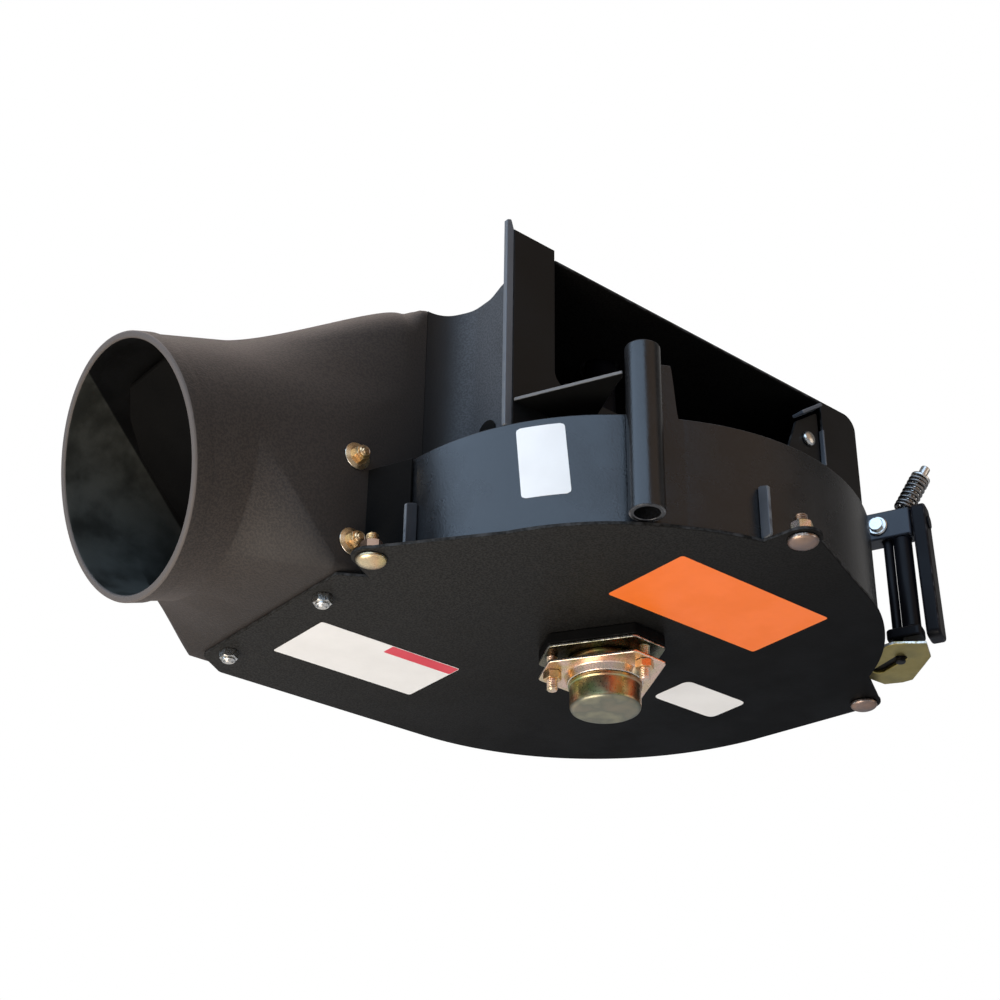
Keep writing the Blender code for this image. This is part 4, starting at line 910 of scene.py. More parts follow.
back_end = np.column_stack([np.linspace(-12.0, HOOD_END_X, 12), np.full(12, BAND_R[1])])
back = np.concatenate([spiral(BAND_R, HOOD_TURNS), back_end])
piece("hood_back_sheet", strip(back, SHEET, HOOD_FOOT, HOOD_EAVES), BAND_PAINT, "hood_back_wall")
bend_at = (HOOD_LEFT_X - HOOD_FILLET, BOOT_NEAR_Y + SHEET / 2.0 - HOOD_FILLET)
straight = np.column_stack([np.full(25, HOOD_LEFT_X), np.linspace(BEHIND_FRAME, -2.0, 25)])
left = np.concatenate([straight, arc(bend_at, HOOD_FILLET, 0.0, 90.0, 28)])
left_high = LEFT_LIP[0] + (LEFT_LIP[1] - LEFT_LIP[0]) * smooth((30.0 - left[:, 1]) / 14.0)
left_high = left_high + (LEFT_LIP[2] - LEFT_LIP[1]) * smooth((-10.0 - left[:, 1]) / 22.0)
piece("hood_left_sheet", strip(left, SHEET, HOOD_FOOT, left_high), LEFT_PAINT, "hood_left_wall")

print("hood walls:", len(back), "and", len(left), "stations")

# %% Hood lid
half = SHEET / 2.0
lid_left, lid_right = LEFT_BAR[1] + GAP, RIGHT_BAR[0] - GAP
roof_front = [(HOOD_LEFT_X, BEHIND_FRAME), (lid_left, BEHIND_FRAME), (lid_left, FRAME_Y),
              (lid_right, FRAME_Y), (lid_right, BEHIND_FRAME)]
roof = np.concatenate([roof_front, spiral(BAND_R, HOOD_TURNS, half), [(HOOD_END_X, BAND_R[1] + half)],
                       arc(bend_at, HOOD_FILLET, 90.0, 0.0, 24)])
shaft_hole = [circle(17.0, steps=48)]
piece("hood_lid", slab(roof, ROOF_TOP - SHEET, ROOF_TOP, 0.7, shaft_hole), LID_PAINT, "hood_roof")
print("hood lid: outline of", len(roof), "points")

# %% Inlet frame
BAR_ROUND, SILL_ROUND = 14.0, 12.0

sill_z = SILL_TOP + SILL_ROUND
bars = np.concatenate([
    [(LEFT_BAR[0], HOOD_FOOT), (RIGHT_BAR[1], HOOD_FOOT)],
    arc((RIGHT_BAR[1] - BAR_ROUND, ROOF_TOP - BAR_ROUND), BAR_ROUND, 0.0, 90.0, 16),
    [(RIGHT_BAR[0], ROOF_TOP)],
    arc((RIGHT_BAR[0] - SILL_ROUND, sill_z), SILL_ROUND, 0.0, -90.0, 14),
    arc((LEFT_BAR[1] + SILL_ROUND, sill_z), SILL_ROUND, 270.0, 180.0, 14),
    [(LEFT_BAR[1], LEFT_BAR_TOP), (LEFT_BAR[0], LEFT_BAR_TOP)]])
piece("inlet_bars", standing(bars, FRAME_Y, SHEET), FRAME_PAINT, "inlet_frame")
edge_x = LEFT_BAR[0] - GAP
post_x = edge_x - 6.5
post = [(post_x, HOOD_FOOT), (edge_x, HOOD_FOOT), (edge_x, POST_TOP - 8.0), (edge_x - 2.5, POST_TOP),
        (post_x, POST_TOP - 2.0)]
# The post takes the pale grey: painted light on its face towards the window.
piece("edge_post", standing(soften(post, 1.4), FRAME_Y, 4.0), PAINTED_HIGHLIGHT_PAINT, "left_post")
print("inlet frame: outline of", len(bars), "points")

# %% Hinge tube and web
TUBE_AT, TUBE_R, TUBE_BORE = (-114.6, -168.4), 12.7, 9.0
TUBE_Z = (3.6, 136.0)
WEB_Z = 112.0

tube = [(TUBE_R, TUBE_Z[0]), (TUBE_R, TUBE_Z[1]), (TUBE_BORE, TUBE_Z[1]), (TUBE_BORE, TUBE_Z[0])]
piece("hanger_tube", lathe(tube, 0.9, (*TUBE_AT, 0.0)), BAND_PAINT, "hinge_tube")
web_y = FRAME_Y - GAP
web = [(-164.0, web_y), (-129.0, -163.0), (-124.5, -157.5), (-122.5, -150.5), (-95.0, web_y)]
piece("tube_web", slab(soften(web, 1.0), WEB_Z, WEB_Z + SHEET, 0.8), WEB_PAINT, "web_plate")
print("hinge tube:", 2 * TUBE_R, "mm across")

# %% Corner bracket
CORNER_BOLT, LIP_DEEP = (161.0, 213.0), 12.0

gusset = soften([(132.0, 186.0), (176.0, 186.0), (176.0, 246.0), (148.0, 226.0)], 2.0)
piece("corner_bracket", standing(gusset, BEHIND_FRAME, SHEET), FRAME_PAINT, "corner_gusset")
lip = soften([(148.0, 229.5), (174.0, 248.0), (172.3, 250.4), (146.3, 231.9)], 0.8)
# The bracket's lip takes the pale grey: a painted highlight along its lit edge, together with some wear.
piece("bracket_lip", standing(lip, BEHIND_FRAME + SHEET - LIP_DEEP, LIP_DEEP, 0.6), PAINTED_HIGHLIGHT_PAINT, "corner_lip")
# A thin pale strip at the right bar's inner edge: a painted highlight where that edge catches the light from
# the left.
lit_edge_outline = soften([(176.4, 192.0), (178.4, 192.0), (178.4, 227.0), (176.4, 227.0)], 0.6)
piece("bar_edge_highlight", standing(lit_edge_outline, FRAME_Y - 1.2, 4.6, 0.6), PAINTED_HIGHLIGHT_PAINT)
seat = (CORNER_BOLT[0], BEHIND_FRAME - GAP, CORNER_BOLT[1])
stem = threaded(4.0, -11.0, 0.0, 1.25, seat, TO_FRONT)
piece("bracket_bolt", together(domed_head(6.8, 4.6, seat, TO_FRONT), stem), BRIGHT_ZINC, "corner_bolt")

print("corner bracket: bolt at", CORNER_BOLT)

# %% Plug and weld beads
PLUG_AT = (HOOD_LEFT_X - SHEET / 2.0 - 0.1, -12.5, 135.0)
piece("wall_plug", domed_head(10.0, 2.0, PLUG_AT, (-1.0, 0.0, 0.0)), RUBBER_AND_SHADE_BLACK)


def weld(foot, low, high, r):
    """A weld bead up a corner: a wire whose radius and place ripple with the height."""
    z = np.linspace(low, high, 120)
    ripple = np.sin(z * 2.1) + 0.6 * np.sin(z * 5.3 + 1.0)
    path = np.column_stack([foot[0] + 0.3 * np.sin(z * 0.9), foot[1] + 0.3 * np.cos(z * 1.3), z])
    return wire(path, r * (1.0 + 0.09 * ripple), 14, (1.0, 0.0, 0.0))


for side_name, degrees in (("left", -126.7), ("right", -121.7)):
    foot = spiral(BAND_R, np.array([degrees]), SHEET / 2.0 + 1.4)[0]
    piece(f"tube_weld_{side_name}", weld(foot, 22.0, 87.0, 2.7), BLACK_OXIDE)
print("plug and two weld beads")

# %% [markdown]
# ## Outlet boot
# The boot is one plastic moulding that turns a square duct end into a round spout.  Two profiles
# and a straight blend would leave a cone; the real one leaves the spout straight and arrives
# flat on the collar.  A cubic between each pair of points, with a pull at both ends, does that.

# %% Outlet boot: sizes
BOOT_WALL = 3.5
MOUTH_AT, MOUTH_R = np.array((-345.0, 133.2, 86.5)), 98.3
RIM, RIM_STEP, RIM_LENGTH = 5.5, 1.2, 12.0
NECK_TOP, NECK_LOW = 75.0, 36.0
MOUTH_TURN, MOUTH_TILT = np.radians((177.3, -18.2))
BOOT_Y, BOOT_Z = (BOOT_NEAR_Y, 227.8), (3.4, 261.0)
COLLAR_X, COLLAR_X_HIGH = -227.0, -172.0
COLLAR_END_LOW, COLLAR_END_HIGH = -203.0, -156.6
TOP_ROUND, LOW_ROUND = 34.0, 8.0
BOOT_LEAVE, BOOT_ARRIVE = 120.0, 50.0
FLARE_Z = (112.0, 182.0)
LIP_ROUND = ((1.4, 0.0), (0.5, 0.35), (0.0, 1.4), (0.0, 2.6))
BOOT_AROUND, BOOT_ROWS, END_ROWS = 512, 44, 4
FLAT_TOP, END_ROUND, END_TOP = 117.0, 5.0, 259.0
NEAR_LAP, FAR_LAP = 6.0, (26.0, 2.0)
CORNER_TURNS = (0.0, 87.0, 177.0, 267.0, 295.0, 347.0, 360.0)
print("boot: mouth", 2 * MOUTH_R, "mm across")


# %% Outlet boot: collar
def boot_turns():
    """Degrees round the spout from the place where the flat near wall ends."""
    return (360.0 * np.arange(BOOT_AROUND) / BOOT_AROUND - 3.0) % 360.0


def collar(inset, top_round, top):
    """Rounded rectangle of the duct end in (y, z).  It starts where the flat near wall ends, and its
    lower near corner gets a wide share of the turn, so that a flat triangle and a cone meet there."""
    y0, y1 = BOOT_Y[0] + inset, BOOT_Y[1] - inset
    z0, z1 = BOOT_Z[0] + inset, top - inset
    high, low = top_round - 0.9 * inset, LOW_ROUND - inset
    start = [(y0, FLAT_TOP)]
    line = np.concatenate([start, arc((y0 + high, z1 - high), high, 180.0, 90.0, 24),
                           arc((y1 - high, z1 - high), high, 90.0, 0.0, 24),
                           arc((y1 - low, z0 + low), low, 0.0, -90.0, 12),
                           arc((y0 + low, z0 + low), low, -90.0, -180.0, 12), start])
    run = np.concatenate([[0.0], np.cumsum(np.linalg.norm(np.diff(line, axis=0), axis=1))])
    middles = [(run[k] + run[k + 1]) / 2.0 for k in (24, 48, 60)]
    share = np.interp(boot_turns(), CORNER_TURNS, [0.0, *middles, run[61], run[72], run[73]])
    return np.interp(share, run, line[:, 0]), np.interp(share, run, line[:, 1])


print("collar:", len(collar(0.0, TOP_ROUND, BOOT_Z[1])[0]), "points")


# %% Outlet boot: skin
def boot_skin(bore, inset):
    """Rows from the round mouth to the square collar: N (2u^3-3u^2+1) + L (u^3-2u^2+u) +
    S (3u^2-2u^3) + A (u^3-u^2), from neck N and collar S with their pulls L and A."""
    flat = math.cos(MOUTH_TILT)
    out = np.array((math.cos(MOUTH_TURN) * flat, math.sin(MOUTH_TURN) * flat, math.sin(MOUTH_TILT)))
    across = np.cross((0.0, 0.0, 1.0), out)
    across /= np.linalg.norm(across)
    near = across if across[1] < 0.0 else -across
    angle = 2.0 * np.pi * np.arange(BOOT_AROUND)[:, None] / BOOT_AROUND
    spoke = np.cos(angle) * near + np.sin(angle) * np.cross(out, across)
    neck_r = MOUTH_R - RIM_STEP - inset
    lip_r = MOUTH_R - bore
    turn_in = 1.0 if bore else -1.0
    mouth = [MOUTH_AT + (lip_r + turn_in * d) * spoke - out * b for d, b in LIP_ROUND]
    rim = MOUTH_AT + lip_r * spoke - out * RIM_LENGTH
    step = MOUTH_AT + neck_r * spoke - out * (RIM_LENGTH + 2.0)
    run = NECK_LOW + (NECK_TOP - NECK_LOW) * (0.5 + 0.5 * np.sin(angle))
    neck = MOUTH_AT + neck_r * spoke - out * run
    y, z = collar(inset, TOP_ROUND, BOOT_Z[1])
    blend = smooth((z - FLARE_Z[0]) / (FLARE_Z[1] - FLARE_Z[0]))
    square = np.column_stack([COLLAR_X + (COLLAR_X_HIGH - COLLAR_X) * blend, y, z])
    u = np.linspace(0.0, 1.0, BOOT_ROWS)[:, None, None]
    low = np.clip((BAND_TOP - z) / BAND_TOP, 0.0, 1.0)
    turns = boot_turns()
    corner = 0.72 * smooth((turns - 225.0) / 50.0) * smooth((352.0 - turns) / 8.0)
    plain = np.maximum(low * np.clip((y - 60.0) / 100.0, 0.0, 1.0), corner)[:, None]
    leave = -out * BOOT_LEAVE * (1.0 - plain) + (square - neck) * plain
    arrive = np.array((BOOT_ARRIVE, 0.0, 0.0)) * (1.0 - plain) + (square - neck) * plain
    skin = (2 * u**3 - 3 * u**2 + 1) * neck + (u**3 - 2 * u**2 + u) * leave
    skin = skin + (3 * u**2 - 2 * u**3) * square + (u**3 - u**2) * arrive
    lap_y, lap_z = collar(0.0, END_ROUND, END_TOP)
    far_share = smooth((lap_z - BAND_TOP + FAR_LAP[0]) / (FAR_LAP[0] - FAR_LAP[1]))
    over_band = np.where(lap_y > MOUTH_AT[1], far_share, lap_z > BAND_TOP + NEAR_LAP)
    stop = COLLAR_END_LOW + (COLLAR_END_HIGH - COLLAR_END_LOW) * over_band
    ends = []
    for t in np.linspace(0.0, 1.0, END_ROWS + 1)[1:]:
        top_round = TOP_ROUND + (END_ROUND - TOP_ROUND) * smooth(t)
        y, z = collar(inset, top_round, BOOT_Z[1] + (END_TOP - BOOT_Z[1]) * t)
        ends.append(np.column_stack([square[:, 0] + (stop - square[:, 0]) * t, y, z]))
    return np.concatenate([mouth, [rim], [step], skin, ends])


outer, inner = boot_skin(0.0, 0.0), boot_skin(RIM, BOOT_WALL)
boot_rows = np.concatenate([outer, inner[::-1]])
boot_edge = np.zeros(boot_rows.shape[:2])
boot_edge[[0, 1, 2, -3, -2, -1]] = 1.0
boot_faces = quads(len(boot_rows), BOOT_AROUND, close_rows=True)
boot = (boot_rows.reshape(-1, 3), boot_faces, boot_edge.reshape(-1))
face_row = np.arange(len(boot_faces)) // BOOT_AROUND
inside = (face_row >= len(outer)) & (face_row < len(boot_rows) - 3)
piece("spout_boot", boot, BOOT_PLASTIC, "outlet_boot", crease=50.0, lining=(BOOT_INSIDE, inside))
print("boot:", boot_rows.shape[0], "rows of", BOOT_AROUND, "points")

# %% Boot fasteners
BOOT_BOLT_X, BOOT_BOLT_Z = -215.0, (99.0, 28.0)
PLATE_BOLTS = ((-213.0, 189.0), (-212.5, 66.0))


def locked_nut(across, seat, axis, stud_r):
    """A lock nut with its stud's end: six flats, a round collar on top and the stud just inside it."""
    inner, wide, narrow = stud_r + 0.2, 0.43 * across, 0.36 * across
    ring = [(inner, 5.6), (wide, 5.6), (wide, 7.6), (narrow, 8.4), (inner, 8.4)]
    return together(hexagon(across, 6.0, seat, axis), lathe(ring, 0.4, seat, axis, 40),
                    threaded(stud_r, -12.0, 9.2, 1.2, seat, axis))


for k, z in enumerate(BOOT_BOLT_Z, 1):
    seat = (BOOT_BOLT_X, BOOT_NEAR_Y - GAP, z)
    dish = [(4.0, 0.0), (10.8, 0.0), (10.8, 0.8), (7.6, 2.4), (4.0, 2.4)]
    piece(f"dished_washer_{k}", lathe(dish, 0.6, seat, TO_FRONT, 56), YELLOW_ZINC, f"boot_washer_{k}")
    top = (BOOT_BOLT_X, BOOT_NEAR_Y - 2.9, z)
    piece(f"boot_screw_{k}", locked_nut(10.8, top, TO_FRONT, 3.1), YELLOW_ZINC, f"boot_bolt_{k}")
for k, at in enumerate(PLATE_BOLTS, 1):
    piece(f"flange_screw_{k}", locked_nut(12.4, (*at, -GAP), DOWN, 3.5), BRIGHT_ZINC, f"plate_bolt_{k}")
print("boot fasteners at", BOOT_BOLT_Z, PLATE_BOLTS)

# %% [markdown]
# ## Bearing
# Under the plate hangs a bearing between two pressed flanges, on a dark pad, with three studs
# through all of it and a round cap over the shaft's end.  The flanges are triangles with their
# corners cut off.  A plain extrusion would leave sharp rims, which a press never does, so each
# is a slab with rolled edges; the lower one has a collar drawn out of it round the bearing.

# %% Bearing flanges
FLANGE_BOLT_CIRCLE, FLANGE_REACH, FLANGE_HALF = 41.0, 48.0, 16.5
FLANGE_TURN, FLANGE_SHEET = 33.0, 2.6
PAD_Z, UPPER_FLANGE_Z, LOWER_FLANGE_Z = (-9.2, -0.4), -9.6, -22.0
COLLAR_DEPTH, CAP_R, SHAFT_R, BEARING_R = 6.0, 27.0, 12.5, 30.0

headings = np.radians(FLANGE_TURN + 120.0 * np.arange(3))
spokes = np.column_stack([np.cos(headings), np.sin(headings)])
ends = spokes * FLANGE_REACH
aside = np.column_stack([-spokes[:, 1], spokes[:, 0]]) * FLANGE_HALF
corners = np.stack([ends - aside, ends + aside], 1)
flange = soften(corners.reshape(-1, 2), 4.5)
studs = spokes * FLANGE_BOLT_CIRCLE
ring_hole = [circle(21.0, steps=48)]
# The pad is a spacer, kept nearly black so that it also stands for the shade between the plate and the upper
# pressing: partly real, partly painted shade.
piece("bearing_pad", slab(flange, *PAD_Z, 1.2, ring_hole), RUBBER_AND_SHADE_BLACK, "bearing_spacer")
upper = slab(flange, UPPER_FLANGE_Z - FLANGE_SHEET, UPPER_FLANGE_Z, 0.9, ring_hole)
piece("upper_pressing", upper, SHADED_FLANGE_ZINC, "bearing_flange_upper")
seat_z = LOWER_FLANGE_Z - FLANGE_SHEET
drawn_z = seat_z - COLLAR_DEPTH
drawn = [(31.5, seat_z + GAP), (30.4, seat_z - 0.6), (28.6, drawn_z), (24.0, drawn_z), (24.0, seat_z + 0.8)]
lower = together(slab(flange, seat_z, LOWER_FLANGE_Z, 0.9, ring_hole), lathe(drawn, 1.0))
piece("lower_pressing", lower, FLANGE_ZINC, "bearing_flange_lower")
print("flanges: stud circle", 2 * FLANGE_BOLT_CIRCLE, "mm")

# %% Bearing race, studs and cap
CAP_STEPS, CAP_END_ROWS, CAP_RIM = 96, 4, 1.0

a = np.radians(np.linspace(-58.0, 58.0, 15))
race_mid, race_half = (LOWER_FLANGE_Z + UPPER_FLANGE_Z - FLANGE_SHEET) / 2.0, 4.5
race_low, race_high = race_mid - race_half, race_mid + race_half
bulge = np.column_stack([BEARING_R - 3.4 + 4.0 * np.cos(a), race_mid + race_half * np.sin(a) / np.sin(a[-1])])
race = np.concatenate([[(SHAFT_R + GAP, race_low)], bulge, [(SHAFT_R + GAP, race_high)]])
piece("bearing_race", turned(race), CAP_ZINC, "bearing")
for k, at in enumerate(studs, 1):
    nut = hexagon(12.2, 6.0, (*at, seat_z - GAP), DOWN)
    stud = threaded(4.2, seat_z - 15.0, 6.0, 1.4, (*at, 0.0))
    both = together(nut, stud)
    bare = np.arange(len(both[1])) >= len(nut[1])
    piece(f"stud_and_nut_{k}", both, YELLOW_ZINC, f"flange_bolt_{k}", lining=(FLANGE_ZINC, bare))
top_z = drawn_z - GAP
rim_r = CAP_R + CAP_RIM
cup = [(0.0, -CAP_DROP), (CAP_R, -CAP_DROP), (CAP_R, top_z - 3.2), (rim_r, top_z - 2.2), (rim_r, top_z),
       (0.0, top_z)]
cup_round = [0.0, 4.2, 1.0, 0.8, 0.6, 0.0]
cap_points, cap_faces, cap_edge = lathe(cup, cup_round, steps=CAP_STEPS)
cap_end = np.arange(len(cap_faces)) < CAP_END_ROWS * CAP_STEPS
piece("shaft_cap", (cap_points, cap_faces, 0.4 * cap_edge), CAP_ZINC, "hub_cap", lining=(CAP_END, cap_end))
print("bearing: cap", 2 * CAP_R, "mm across,", len(studs), "studs")

# %% [markdown]
# ## Rotor
# The rotor is a disc with six paddles on a hub, the shaft, and the belt pulley on top of the
# hood.  Most of it hides in the scroll, so plain shapes would do, but it turns and may be seen
# with the cover off.  It is finished like the rest, from the same slabs and turned profiles.

# %% Shaft and paddles
IMPELLER_R, DISC_Z = 176.0, (9.0, 12.0)
PADDLE_R, PADDLE_Z, PADDLE_LEAN, PADDLES = (58.0, 174.0), (12.4, 78.0), -26.0, 6
PULLEY_R, PULLEY_Z = 40.0, (276.0, 294.0)
BORE = SHAFT_R + GAP

shaft_z = (-44.0, PULLEY_Z[1] + 11.0)
shaft = [(0.0, shaft_z[0]), (SHAFT_R, shaft_z[0]), (SHAFT_R, shaft_z[1]), (0.0, shaft_z[1])]
piece("drive_shaft", lathe(shaft, 1.2, steps=48), BLACK_OXIDE, "shaft", "rotor")
disc = [(BORE, DISC_Z[0]), (IMPELLER_R, DISC_Z[0]), (IMPELLER_R, DISC_Z[1]), (BORE, DISC_Z[1])]
piece("paddle_disc", lathe(disc, 0.8, steps=128), BAND_PAINT, "impeller_disc", "rotor")
hub = [(30.0, 12.4), (30.0, 22.0), (22.0, 26.0), (22.0, 46.0), (BORE, 46.0), (BORE, 12.4)]
piece("paddle_hub", lathe(hub, 1.5), CAST_IRON, "impeller_hub", "rotor")
paddle = soften([(PADDLE_R[0], PADDLE_Z[0]), (PADDLE_R[1], PADDLE_Z[0]), (PADDLE_R[1], PADDLE_Z[1]),
                 (PADDLE_R[0], PADDLE_Z[1])], 6.0)
for k in range(PADDLES):
    turn = Matrix.Rotation(2.0 * math.pi * k / PADDLES, 4, "Z")
    turn = turn @ Matrix.Translation((0.0, PADDLE_LEAN, 0.0))
    piece(f"paddle_{k + 1}", placed(slab(paddle, -2.0, 2.0, 0.8), turn @ STAND), BAND_PAINT,
          f"impeller_blade_{k + 1}", "rotor")
print("rotor:", PADDLES, "paddles,", 2 * IMPELLER_R, "mm across")

# %% Pulley and top bearing
low, high = PULLEY_Z
mid, groove_r = (low + high) / 2.0, PULLEY_R - 10.0
groove = [(BORE, low - 1.6), (20.0, low - 1.6), (20.0, low), (PULLEY_R, low), (PULLEY_R, mid - 6.0),
          (groove_r, mid - 3.0), (groove_r, mid + 3.0), (PULLEY_R, mid + 6.0), (PULLEY_R, high),
          (PULLEY_R - 7.0, high), (PULLEY_R - 9.0, high - 3.0), (24.0, high - 3.0), (22.0, high),
          (BORE, high)]
piece("belt_pulley", lathe(groove, 1.0), CAST_IRON, "drive_pulley", "rotor")
nut = hexagon(32.0, 7.6, (0.0, 0.0, high + GAP), UP, BORE)
piece("shaft_nut", nut, BRIGHT_ZINC, "pulley_nut", "rotor")
house = [(45.0, 257.4), (45.0, 261.0), (30.0, 264.0), (28.0, 274.0), (BORE, 274.0), (BORE, 257.4)]
piece("top_bearing_housing", lathe(house, 1.6), CAST_IRON, "upper_bearing")
print("pulley:", 2 * PULLEY_R, "mm across")

# %% [markdown]
# ## Latch
# On the right an arm carries a hanging lever, a lock pin that drops into a plated catch plate,
# and a sprung plunger.  The lever, the pin and the plunger move, so each rides on its own body.
# The spring could be drawn at both lengths with a shape key, but it only has to get shorter.  Here it is
# drawn once, at full length, and stays with the arm with a mesh of its own.

# %% Latch: where it stands
ARM_FROM = (196.0, FRAME_Y - GAP)
ARM_ALONG = Vector((0.417, -0.909, 0.0)).normalized()
ARM_ASIDE = Vector((-ARM_ALONG.y, ARM_ALONG.x, 0.0))
ARM_LENGTH, ARM_HALF, ARM_Z = 56.0, 9.0, (117.0, 142.0)
PIN_AT, SLEEVE_AT, SLEEVE_R, FOOT_Z = 34.0, 46.0, 7.6, (27.0, 36.0)
PIVOT_Z, PLUNGER_AT, PLUNGER_TILT = 128.0, 48.0, math.radians(30.0)
PLUNGER_LEAN = Vector((0.737, -0.676, 0.0)).normalized()

arm = Matrix((ARM_ALONG, ARM_ASIDE, (0.0, 0.0, 1.0))).transposed().to_4x4()
arm.translation = (*ARM_FROM, 0.0)
plunger_axis = PLUNGER_LEAN * math.sin(PLUNGER_TILT) + Vector((0.0, 0.0, math.cos(PLUNGER_TILT)))
plunger_turn = plunger_axis.to_track_quat("Z", "Y").to_matrix().to_4x4()
slide = Matrix.Translation(arm @ Vector((PLUNGER_AT, 0.0, ARM_Z[1]))) @ plunger_turn
hinge_at = arm @ Vector((ARM_LENGTH + GAP, 0.0, PIVOT_Z))
pin_place = arm @ Vector((PIN_AT, 0.0, 0.0))
print("latch: hinge at", [round(c, 1) for c in hinge_at])

# %% Latch arm and its fixed pieces
SLEEVE_BORE = 4.4

slant = ARM_HALF * ARM_ALONG.x / -ARM_ALONG.y
bar = soften([(slant, ARM_HALF), (-slant, -ARM_HALF), (ARM_LENGTH, -ARM_HALF), (ARM_LENGTH, ARM_HALF)], 2.5)
oblong = np.concatenate([arc((PIN_AT, 0.0), 4.7, 90.0, 270.0, 20), arc((49.5, 0.0), 4.9, -90.0, 90.0, 20)])
piece("latch_bracket", placed(slab(bar, *ARM_Z, 1.6, [oblong]), arm), ARM_PAINT, "latch_arm")
seat = arm @ Vector((28.5, -ARM_HALF - GAP, 129.0))
piece("bracket_screw", hexagon(10.5, 5.0, seat, -ARM_ASIDE, 0.0, 8.6), BRIGHT_ZINC, "latch_bolt")
low, high = FOOT_Z[1] + GAP, ARM_Z[0] - GAP
sleeve = [(SLEEVE_R, low), (SLEEVE_R, high), (SLEEVE_BORE, high), (SLEEVE_BORE, low)]
sleeve = lathe(sleeve, 0.8, (SLEEVE_AT, 0.0, 0.0), steps=48)
piece("guide_sleeve", placed(sleeve, arm), BLACK_OXIDE, "latch_sleeve")
heel, toe = PIN_AT - 8.0, ARM_LENGTH - 1.0
foot = soften([(heel, -ARM_HALF), (toe, -ARM_HALF), (toe, ARM_HALF), (heel, ARM_HALF)], 5.0)
foot = slab(foot, *FOOT_Z, 1.8, [circle(4.6, (PIN_AT, 0.0))])
piece("sleeve_foot", placed(foot, arm), BLACK_OXIDE, "latch_foot")
pin_bolt = [(0.0, 0.0), (4.0, 0.0), (4.0, 12.8), (5.5, 12.8), (5.5, 14.0), (0.0, 14.0)]
piece("lever_pivot", lathe(pin_bolt, 0.5, hinge_at, ARM_ALONG, 40), BLACK_OXIDE, "latch_pivot")
print("latch arm:", ARM_LENGTH, "mm long")

# %% Catch plate
CATCH_Z, SLOT_SHADE_Z = (13.0, 16.0), (16.4, 18.0)
SLOT_CLEAN = 7.5          # no wear nearer than this to the slot's middle line

catch_turns = np.array((-20.0, -22.0, -24.0, -26.0, -28.0, -30.0, -31.0))
catch = np.concatenate([[(186.0, -131.0), (205.0, -148.0), (227.0, -134.5), (235.0, -122.0), (250.5, -97.0),
                         (248.5, -88.0), (240.0, -76.0)], spiral(BAND_R, catch_turns, 2.4)])
slot_end, pin_xy = np.array((215.6, -91.0)), np.array(pin_place.xy)
slot = slot_end - pin_xy
towards_end = math.degrees(math.atan2(*slot[::-1]))
keyway = np.concatenate([arc(slot_end, 4.9, towards_end - 90.0, towards_end + 90.0, 16),
                         arc(pin_xy, 5.2, towards_end + 90.0, towards_end + 270.0, 16)])
# A near-black sheet just above the catch plate closes the keyway from behind, so that the slot reads dark: a
# dark sheet for painted shade.
slot_shade_outline = soften([(219.0, -79.0), (224.5, -94.0), (217.0, -127.0), (202.0, -125.0), (205.0, -89.0)], 3.0)
piece("slot_shade_sheet", slab(slot_shade_outline, *SLOT_SHADE_Z, 0.4, [circle(5.4, pin_xy)]), WEB_PAINT)
sheet, sheet_faces, sheet_edge = slab(catch, *CATCH_Z, 0.8, [keyway])
along_slot = np.clip((sheet[:, :2] - pin_xy) @ slot / np.sum(slot**2), 0.0, 1.0)
off_slot = np.linalg.norm(sheet[:, :2] - pin_xy - along_slot[:, None] * slot, axis=1)
sheet_edge = np.where(off_slot < SLOT_CLEAN, 0.0, sheet_edge)
piece("catch_sheet", (sheet, sheet_faces, sheet_edge), CATCH_ZINC, "catch_plate")
print("catch plate: slot", round(float(np.linalg.norm(slot)), 1), "mm long")

# %% Lever and lock pin
LEVER_THICK, ROD_Z, ROD_R = (0.6, 12.4), (9.0, 118.5), 4.0

lever = soften([(-10.0, 16.0), (-2.0, -101.0), (20.0, -101.0), (10.0, 16.0)], 6.5, 8)
lie = Matrix.Rotation(math.radians(90.0), 4, "Y") @ Matrix.Rotation(math.radians(90.0), 4, "Z")
hang = Matrix.Translation(hinge_at) @ arm.to_3x3().to_4x4() @ lie
lever = slab(lever, *LEVER_THICK, 2.4, [circle(4.4)], 6)
piece("swing_lever", placed(lever, hang), BLACK_OXIDE, "latch_lever", "lever")
rod = [(0.0, ROD_Z[0]), (ROD_R, ROD_Z[0]), (ROD_R, ROD_Z[1]), (0.0, ROD_Z[1])]
piece("drop_pin", lathe(rod, 1.2, (*pin_place.xy, 0.0), steps=40), BLACK_OXIDE, "lock_pin", "pin")
print("lock pin:", ROD_Z[1] - ROD_Z[0], "mm long")

# %% Plunger and spring
SPRING_WIRE, SPRING_R, SPRING_PITCH, SPRING_TURNS, SPRING_BASE = 2.9, 7.1, 4.4, 6, 6.0
SPRING_TOP = SPRING_BASE + SPRING_PITCH * SPRING_TURNS + 3.2

collar_z, tip_z = SPRING_TOP + 3.0, SPRING_TOP + 13.0
stem = [(0.0, -4.0), (2.4, -4.0), (2.4, 4.8), (4.0, 5.6), (4.0, SPRING_TOP + 0.6), (8.4, SPRING_TOP + 0.6),
        (8.4, collar_z), (4.0, collar_z), (4.0, tip_z), (0.0, tip_z)]
piece("plunger_rod", placed(lathe(stem, 0.8, steps=40), slide), BRIGHT_ZINC, "plunger", "plunger")

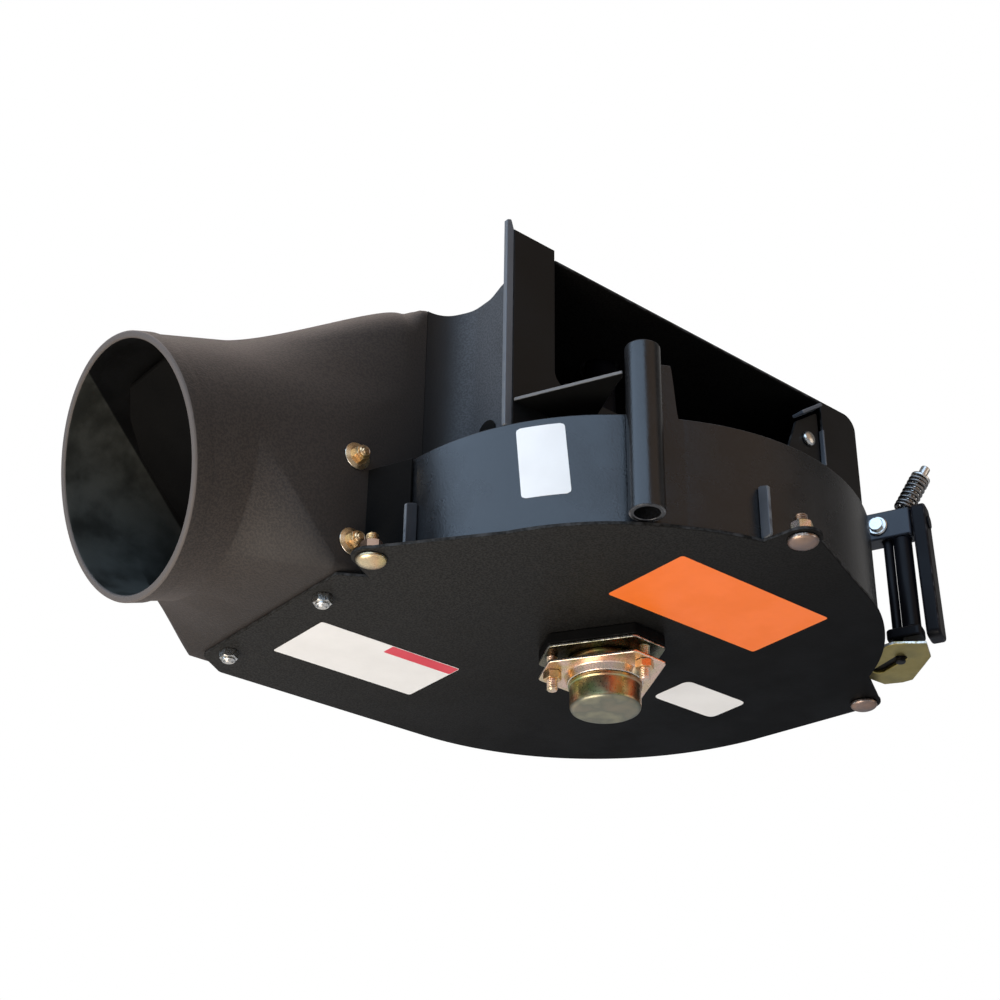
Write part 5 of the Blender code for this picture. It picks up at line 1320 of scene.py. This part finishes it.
turns = np.linspace(-0.9, SPRING_TURNS + 0.9, 400)
rise = SPRING_BASE + SPRING_PITCH * np.clip(turns, 0.0, SPRING_TURNS)
rise += 2.3 * (np.minimum(turns, 0.0) + np.maximum(turns - SPRING_TURNS, 0.0))
coil = np.column_stack([SPRING_R * np.cos(2 * np.pi * turns), SPRING_R * np.sin(2 * np.pi * turns), rise])
spring = piece("plunger_spring", placed(wire(coil, SPRING_WIRE / 2.0), slide), SPRING_STEEL, "latch_spring")
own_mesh(spring)

# %% [markdown]
# ## Blank labels
# The machine carries five pieces of plain film.  A film could be a flat colour on the sheet, but
# its edge shows as a fine line of dirt.  So each is a slab a quarter of a millimetre thick with
# rounded corners, and the one on the band is a strip bent to the same spiral.

# %% Blank labels
FILM = (-0.30, -0.03)       # a flat label's two faces, below the plate
BENT_FILM = (0.25, 0.03)    # the bent label's two faces, off the band


def flat_film(name, x, y, corner, look, face=FILM[0]):
    """A flat label on the plate's underside with rounded corners."""
    outline = soften([(x[0], y[0]), (x[1], y[0]), (x[1], y[1]), (x[0], y[1])], corner)
    return piece(name, slab(outline, face, FILM[1], 0.1, steps=3), look)


def bent_film(turns, lean, z, corner):
    """A label on the band: rows of constant height, each drawn in near the ends by the corner's round
    c - sqrt(c^2 - (c - d)^2) at a distance d from the end, and leaning by an angle from end to end."""
    up = np.linspace(0.0, 1.0, 49)[:, None]
    rise = z[0] + (z[1] - z[0]) * up
    near_end = np.clip(corner - np.minimum(rise - z[0], z[1] - rise), 0.0, corner)
    drawn_in = np.degrees((corner - np.sqrt(corner**2 - near_end**2)) / BAND_R[0])
    part = np.linspace(0.0, 1.0, 25)[None]
    a = np.radians(turns[0] + drawn_in + (turns[1] - turns[0] - 2.0 * drawn_in) * part + lean * (1.0 - up))
    a = np.concatenate([a, a[:, ::-1]], axis=1)
    r = BAND_R[0] + SHEET / 2.0 + np.repeat(BENT_FILM, 25)[None]
    points = np.stack([r * np.cos(a), r * np.sin(a), np.broadcast_to(rise, a.shape)], axis=2)
    rows, around = a.shape
    last = (rows - 1) * around
    faces = quads(rows, around) + [list(range(around)), list(range(last, last + around))]
    return points.reshape(-1, 3), faces, np.zeros(rows * around)


flat_film("blank_label_white", (-189.0, -60.0), (101.0, 166.0), 2.5, LABEL_WHITE)
flat_film("blank_label_red", (-124.0, -60.5), (101.5, 114.0), 1.5, LABEL_RED, FILM[0] - 0.12)
flat_film("blank_label_orange", (-60.0, 91.0), (-146.0, -69.0), 3.0, LABEL_ORANGE)
flat_film("blank_label_small", (91.0, 158.0), (2.0, 42.6), 7.0, LABEL_WHITE)
piece("blank_label_band", bent_film((-150.9, -140.3), 1.4, (27.5, 84.3), 3.0), LABEL_WHITE)
print("blank labels: 5")

# %% [markdown]
# ## Solids that stay
# Two sheets hide deep inside, and the slanted one in the outlet is plain and flat.  They could be
# made again, but their solids already have the right shape, so these stay and take a finish.

# %% Finishes on solids that stay
for node, look in (("eye_plate", LID_PAINT), ("tongue_strip", BAND_PAINT), ("outlet_ramp", RUBBER_AND_SHADE_BLACK)):
    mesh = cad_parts[node].data
    mesh.materials.clear()
    mesh.materials.append(look)
    print(node, "takes", look.name)
